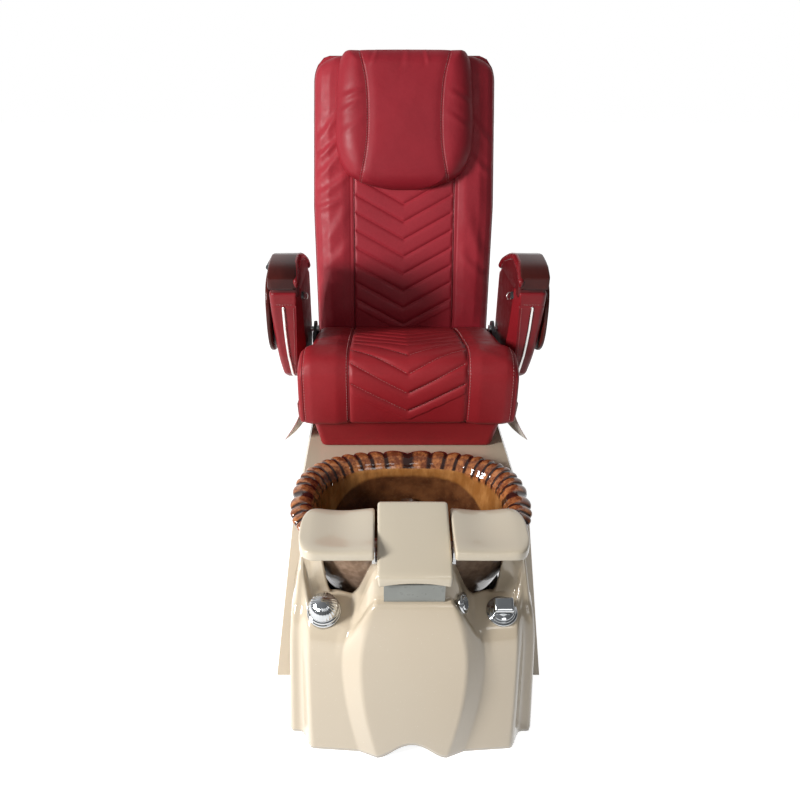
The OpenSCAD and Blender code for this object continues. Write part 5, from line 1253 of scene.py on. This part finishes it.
ARM_SPANS = [(0, 2, 6), (2, 3, 26), (3, 11, 12), (11, 12, 30), (12, 20, 12), (20, 21, 14), (21, 23, 4),
             (23, 24, 24), (24, 25, 4), (25, 26, 14)]


def arm_ring(z):
    """Plan outline of the arm at a height above ARM_TOP, with a recess in its inner side.

    ARM_SPANS says how many points each run between two of its corners gets.
    """
    f, b, inner = arm_front(z), arm_rear(z), arm_inner(z)
    outer = ARM_X1 + lookup(z, ARM_OUTER)
    r = min(14, (b - f) / 3, (outer - inner) / 2.5)
    turn = np.linspace(0, np.pi / 2, 9)
    points = [(inner + 0.6, f + 3.4), (inner + 2.0, f + 1.0), (inner + 5, f)]
    points += [(outer - r + r * math.sin(a), f + r - r * math.cos(a)) for a in turn]
    points += [(outer - r + r * math.cos(a), b - r + r * math.sin(a)) for a in turn]
    recess = ARM_X0 + ARM_RECESS
    points += [(ARM_X0 + 8, b), (recess + 1, b - 1.4), (recess, b - 5), (recess, min(f + 46, b - 6)),
               (ARM_X0 + 1.0, min(f + 40, b - 7)), points[0]]
    run = run_of(points)
    return np.vstack([sample(points, run, np.linspace(run[a], run[b], count, endpoint=False))
                      for a, b, count in ARM_SPANS])


def arms():
    """Leather arm bodies with a sewn band under the cap."""
    foot, band = -285, -37
    zs = np.concatenate([foot + edge_steps(9, 7), np.linspace(-275, -6, 130), -3 * np.linspace(1, 0, 4)])
    rings = []
    for z in np.unique(np.round(zs, 3)).tolist():
        ring = arm_ring(z)
        out = ring - ring.mean(0)
        tuck = 6 * (1 - dome(min(z - foot, -z) / 8))
        ring = ring - unit(out) * tuck
        front = smooth((arm_front(z) + 24 - ring[:, 1]) / 14)
        puff = np.minimum(0, 0.9 * fbm(np.column_stack([ring, np.full(len(ring), z)]), 80, 31, 2) - 0.4)
        sunk = front * (1.6 * bump(z - band, 1.8) + smooth((z - band) / 3) - puff)
        ring[:, 1] += sunk * (ring[:, 1] < ring[:, 1].mean())
        rings.append(np.column_stack([ring, np.full(len(ring), ARM_TOP + z)]))
    for o in both_sides("arm_cover", *loft(rings), "arm_leather", "arm_", ["arm_body"], "arm_leather"):
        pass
    hem_x = np.linspace(ARM_X0 + 20, ARM_X1 - 10, 20)
    hem = np.column_stack([hem_x, np.full(20, arm_front(-33.0) + 0.5), np.full(20, ARM_TOP - 33.0)])
    z = np.linspace(-40, -262, 80)
    edge = np.column_stack([arm_inner(z) + 8, arm_front(z) - 0.2, ARM_TOP + z])
    threads = join(stitches(hem, (0, -1, 0), 4.4, 2.6, 0.45), stitches(edge, (0, -1, 0), 4.4, 2.6, 0.4))
    both_sides("arm_stitches", *threads, "thread", "arm_", slot="arm_leather")


def cap_under(y):
    return np.interp(y, [0, 9, 258, ARM_L], [9.0, 0.2, 0.2, -33]) + AIR


def rounded_box(x0, x1, z0, z1, r, n=7):
    """A rounded rectangle in x and z."""
    a = np.linspace(0, np.pi / 2, n)
    corners = ((x1 - r, z1 - r), (x0 + r, z1 - r), (x0 + r, z0 + r), (x1 - r, z0 + r))
    return np.vstack([np.column_stack([x + r * np.cos(a + k * np.pi / 2), z + r * np.sin(a + k * np.pi / 2)])
                      for k, (x, z) in enumerate(corners)])


def arm_section(outline, y):
    """An outline in x and height above ARM_TOP, set across the arm at a length y along it."""
    return np.column_stack([outline[:, 0], np.full(len(outline), ARM_Y + y), ARM_TOP + outline[:, 1]])


def caps():
    """Lacquered arch over each arm, with a fat red band inside it and a gusset under it in near-black
    leather, which is painted shade.
    """
    crest = spline(CAP_CREST, 300)
    rings, rim, fill, radii = [], [], [], []
    for y in stations(0, ARM_L, 12, 70).tolist():
        whole = float(dome((min(y, ARM_L - y) + 0.2) / 10))
        high = float(lookup(y, crest)) + 0.4
        low = max(float(cap_under(y)), high - mix(34, 21, smooth((y - 4) / 46)))
        high, low = high - 5 * (1 - whole), low + (3 if y > 20 else 0) * (1 - whole)
        r = max(1.2, min(6.5, (high - low) / 2.6)) * mix(0.5, 1, whole)
        crown, inset = 1.2 * whole, 3 * (1 - whole)
        ring = rounded_box(ARM_X0 + 5 + inset, ARM_X1 - inset, low, high - crown, r)
        ring[:, 1] += crown * (ring[:, 1] > (low + high) / 2) * (1 - ((ring[:, 0] - 312) / 40) ** 2)
        rings.append(arm_section(ring, y))
        if 1.5 < y < ARM_L - 3:
            radius = min((high - low) / 2 - 0.4, mix(7.0, 10.5, smooth((y - 10) / 60)))
            radii.append(radius)
            middle = mix(high - radius - 0.4, (high + low) / 2, 0.5)
            rim.append((ARM_X0 + radius + 0.2, ARM_Y + y, ARM_TOP + middle))
        if 14 < y < 262:
            box = rounded_box(ARM_X0 + ARM_RECESS - 0.2, ARM_X1 - 6, -12, max(low + 4, -6), 1.0, 3)
            fill.append(arm_section(box, y))
    start = np.array(rim[0])
    path = np.vstack([spline([start + [0, 1.5, -14], start + [0, -0.6, -6], start], 8)[:-1], rim])
    band = tube(path, np.concatenate([np.linspace(4, radii[0], 8)[:-1], radii]), 18)
    both_sides("arm_cap_shell", *flipped(loft(rings)), "cap_mahogany", "arm_", ["arm_cap"], "cap_mahogany")
    both_sides("arm_cap_band", *band, "band_red", "arm_", slot="cap_mahogany")
    both_sides("arm_gusset", *flipped(loft(fill)), "arm_panel", "arm_", slot="arm_leather")


def arm_panels():
    """Padded panel in the recess on the inner side of each arm, its near-black leather painted shade."""
    z, share = np.linspace(-268, -4, 50), np.linspace(0, 1, 30)
    front, rear = arm_front(z) + 44, arm_rear(z) - 9
    y = mix(front[:, None], rear[:, None], share)
    from_ends = np.minimum(z + 268, -4 - z)[:, None]
    from_sides = np.minimum(share, 1 - share) * (rear - front)[:, None]
    x = ARM_X0 + ARM_RECESS - 0.3 + 1.6 * (1 - dome(np.minimum(from_ends, from_sides) / 5))
    verts = np.stack([x, y, ARM_TOP + z[:, None] + 0 * y], -1).reshape(-1, 3)
    both_sides("arm_panel", verts, grid_faces(*y.shape), "arm_panel", "arm_", slot="arm_leather")


PULL_AT, PULL_R, PULL_TURN = (ARM_X0 - 7.5, ARM_Y + 58, ARM_TOP - 22), 9, math.radians(28)


def pulls():
    """A bright ring on each latch, turned towards the front."""
    away, up = (PULL_R * v for v in circle(36))
    ring = np.column_stack([PULL_AT[0] + away * math.cos(PULL_TURN), PULL_AT[1] + away * math.sin(PULL_TURN),
                            PULL_AT[2] + up])
    both_sides("arm_pull_ring", *tube(ring, 1.25, closed=True), "trim_silver", "latch_", slot="chrome")


def strips():
    """Bright strip down the front of each arm, and a leather welt along its inner front edge."""
    n, a = 50, np.linspace(0, np.pi, 9)
    z = np.linspace(TRIM[0][0], TRIM[-1][0], n)
    middle, front = ARM_X0 + lookup(z, TRIM[::-1]), arm_front(z) - AIR
    rings = []
    for k in range(n):
        w = 4.2 * max(math.sqrt(0.02), dome(min(k, n - 1 - k) / 2))
        x = np.concatenate([w * np.cos(a), [-w, w]])
        y = np.concatenate([-2.6 * np.sin(a) ** 0.7, [0.2, 0.2]])
        rings.append(np.column_stack([middle[k] + x, front[k] + y, np.full(len(x), ARM_TOP + z[k])]))
    both_sides("arm_strip", *loft(rings), "trim_silver", "arm_", ["arm_trim"], "trim_silver")
    welt = np.column_stack([arm_inner(z) + 2.2, arm_front(z) + 1.4, ARM_TOP + z])
    both_sides("arm_welt", *tube(welt[::2], 1.3), "arm_leather", "arm_", slot="arm_leather")


TRAY_X, TRAY_YC, TRAY_ZC = 354, 797, 762
TRAY_L, TRAY_H = 206, 226
TRAY_SECTION = [(0.35, 5.0), (0.6, 4.8), (0.74, 4.4), (0.80, 4.6), (0.835, 6.6), (0.86, 10.4),
                (0.875, 11.6), (0.90, 12.0), (0.95, 12.0), (0.98, 11.2), (0.995, 9.4), (1.0, 6.5),
                (0.997, 3.2), (0.985, 1.0), (0.965, 0.0), (0.6, 0.0), (0.2, 0.0)]
HINGE_X, HINGE_Z, HINGE_R, HINGE_HALF = 360, 884, 7, 19.7


def arm_trays():
    """Glossy oval tray that hangs beside the arm: a shallow dish outside, a rounded rim and a flat back."""
    rings = []
    for share, height in TRAY_SECTION:
        p = oval(TRAY_L / 2 * share, TRAY_H / 2 * share, 2.6, 96)
        rings.append(np.column_stack([np.full(96, TRAY_X + height), TRAY_YC + p[:, 0], TRAY_ZC + p[:, 1]]))
    y0, y1 = TRAY_YC - HINGE_HALF, TRAY_YC + HINGE_HALF
    barrel = tube([(HINGE_X, y, HINGE_Z) for y in np.linspace(y0, y1, 6)], HINGE_R, 28)
    foot = [[(HINGE_X - 5, y0, z), (HINGE_X + 5, y0, z), (HINGE_X + 5, y1, z), (HINGE_X - 5, y1, z)]
            for z in (862, 868, 874, 880)]
    tray = join(loft(rings, ()), barrel, loft(foot, ()))
    both_sides("tray_shell", *tray, "cap_mahogany", "tray_", ["tray"], "cap_mahogany")


COVER_X, COVER_T, COVER_FLARE = 265.3, 3, 60
COVER_TOP = [(0, 70), (0.25, 56), (0.45, 50), (1, 40)]


def side_covers():
    """Curved covers beside the seat frame: red leather outside, a pale lining inside, whose lightness is
    partly painted light on its lit inner face.
    """
    us, vs = np.linspace(0, 1, 30), np.concatenate([[0, 0.004, 0.012, 0.024], np.linspace(0.04, 1, 44)])
    v, u = np.meshgrid(vs, us, indexing="ij")
    beside = (SEAT_HALF + 1.5 - COVER_X) * (1 - smooth((v - 0.12) / 0.4))
    curl = mix(0.3, 1, (1 - np.minimum(1, v / 0.36)) ** 2)
    y = mix(SEAT_Y + 12 + 54 * u, SEAT_Y + SEAT_L - 4, v)
    z = mix(BOARD_Z + lookup(v, COVER_TOP), DECK_Z + 5, u)
    thick = COVER_T / 2 * dome(np.minimum(np.minimum(u * 70, (1 - u) * 70), v * 300) / 3)
    middle = COVER_X + COVER_T / 2 + np.maximum(beside, COVER_FLARE * u ** 1.5 * curl)
    wave = np.minimum(0, fbm(np.stack([y, z, 0 * y], -1), 70, 41) - 0.4)
    outside, split, inside = (np.stack([x, y, z], -1) for x in
                              (middle + thick + 0.6 + wave * 0.5, middle - 0.2, middle - thick - 0.3))
    skin = shell(outside, split)
    for o in both_sides("side_cover", *skin, "cover_red", "seat", ["side_cover"], "cover_red"):
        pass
    both_sides("side_cover_lining", *shell(split, inside), "lining", "seat", slot="cover_red")


apron()
bowl()
middle_pad()
side_pads()
taps()
seat_cushion()
back_cushion()
head_pillow()
pillow_flap()
seat_skirt()
side_covers()
arms()
caps()
arm_panels()
strips()
pulls()
arm_trays()

dress_cad_nodes()
studio()
bpy.context.scene.view_settings.view_transform = "Standard"
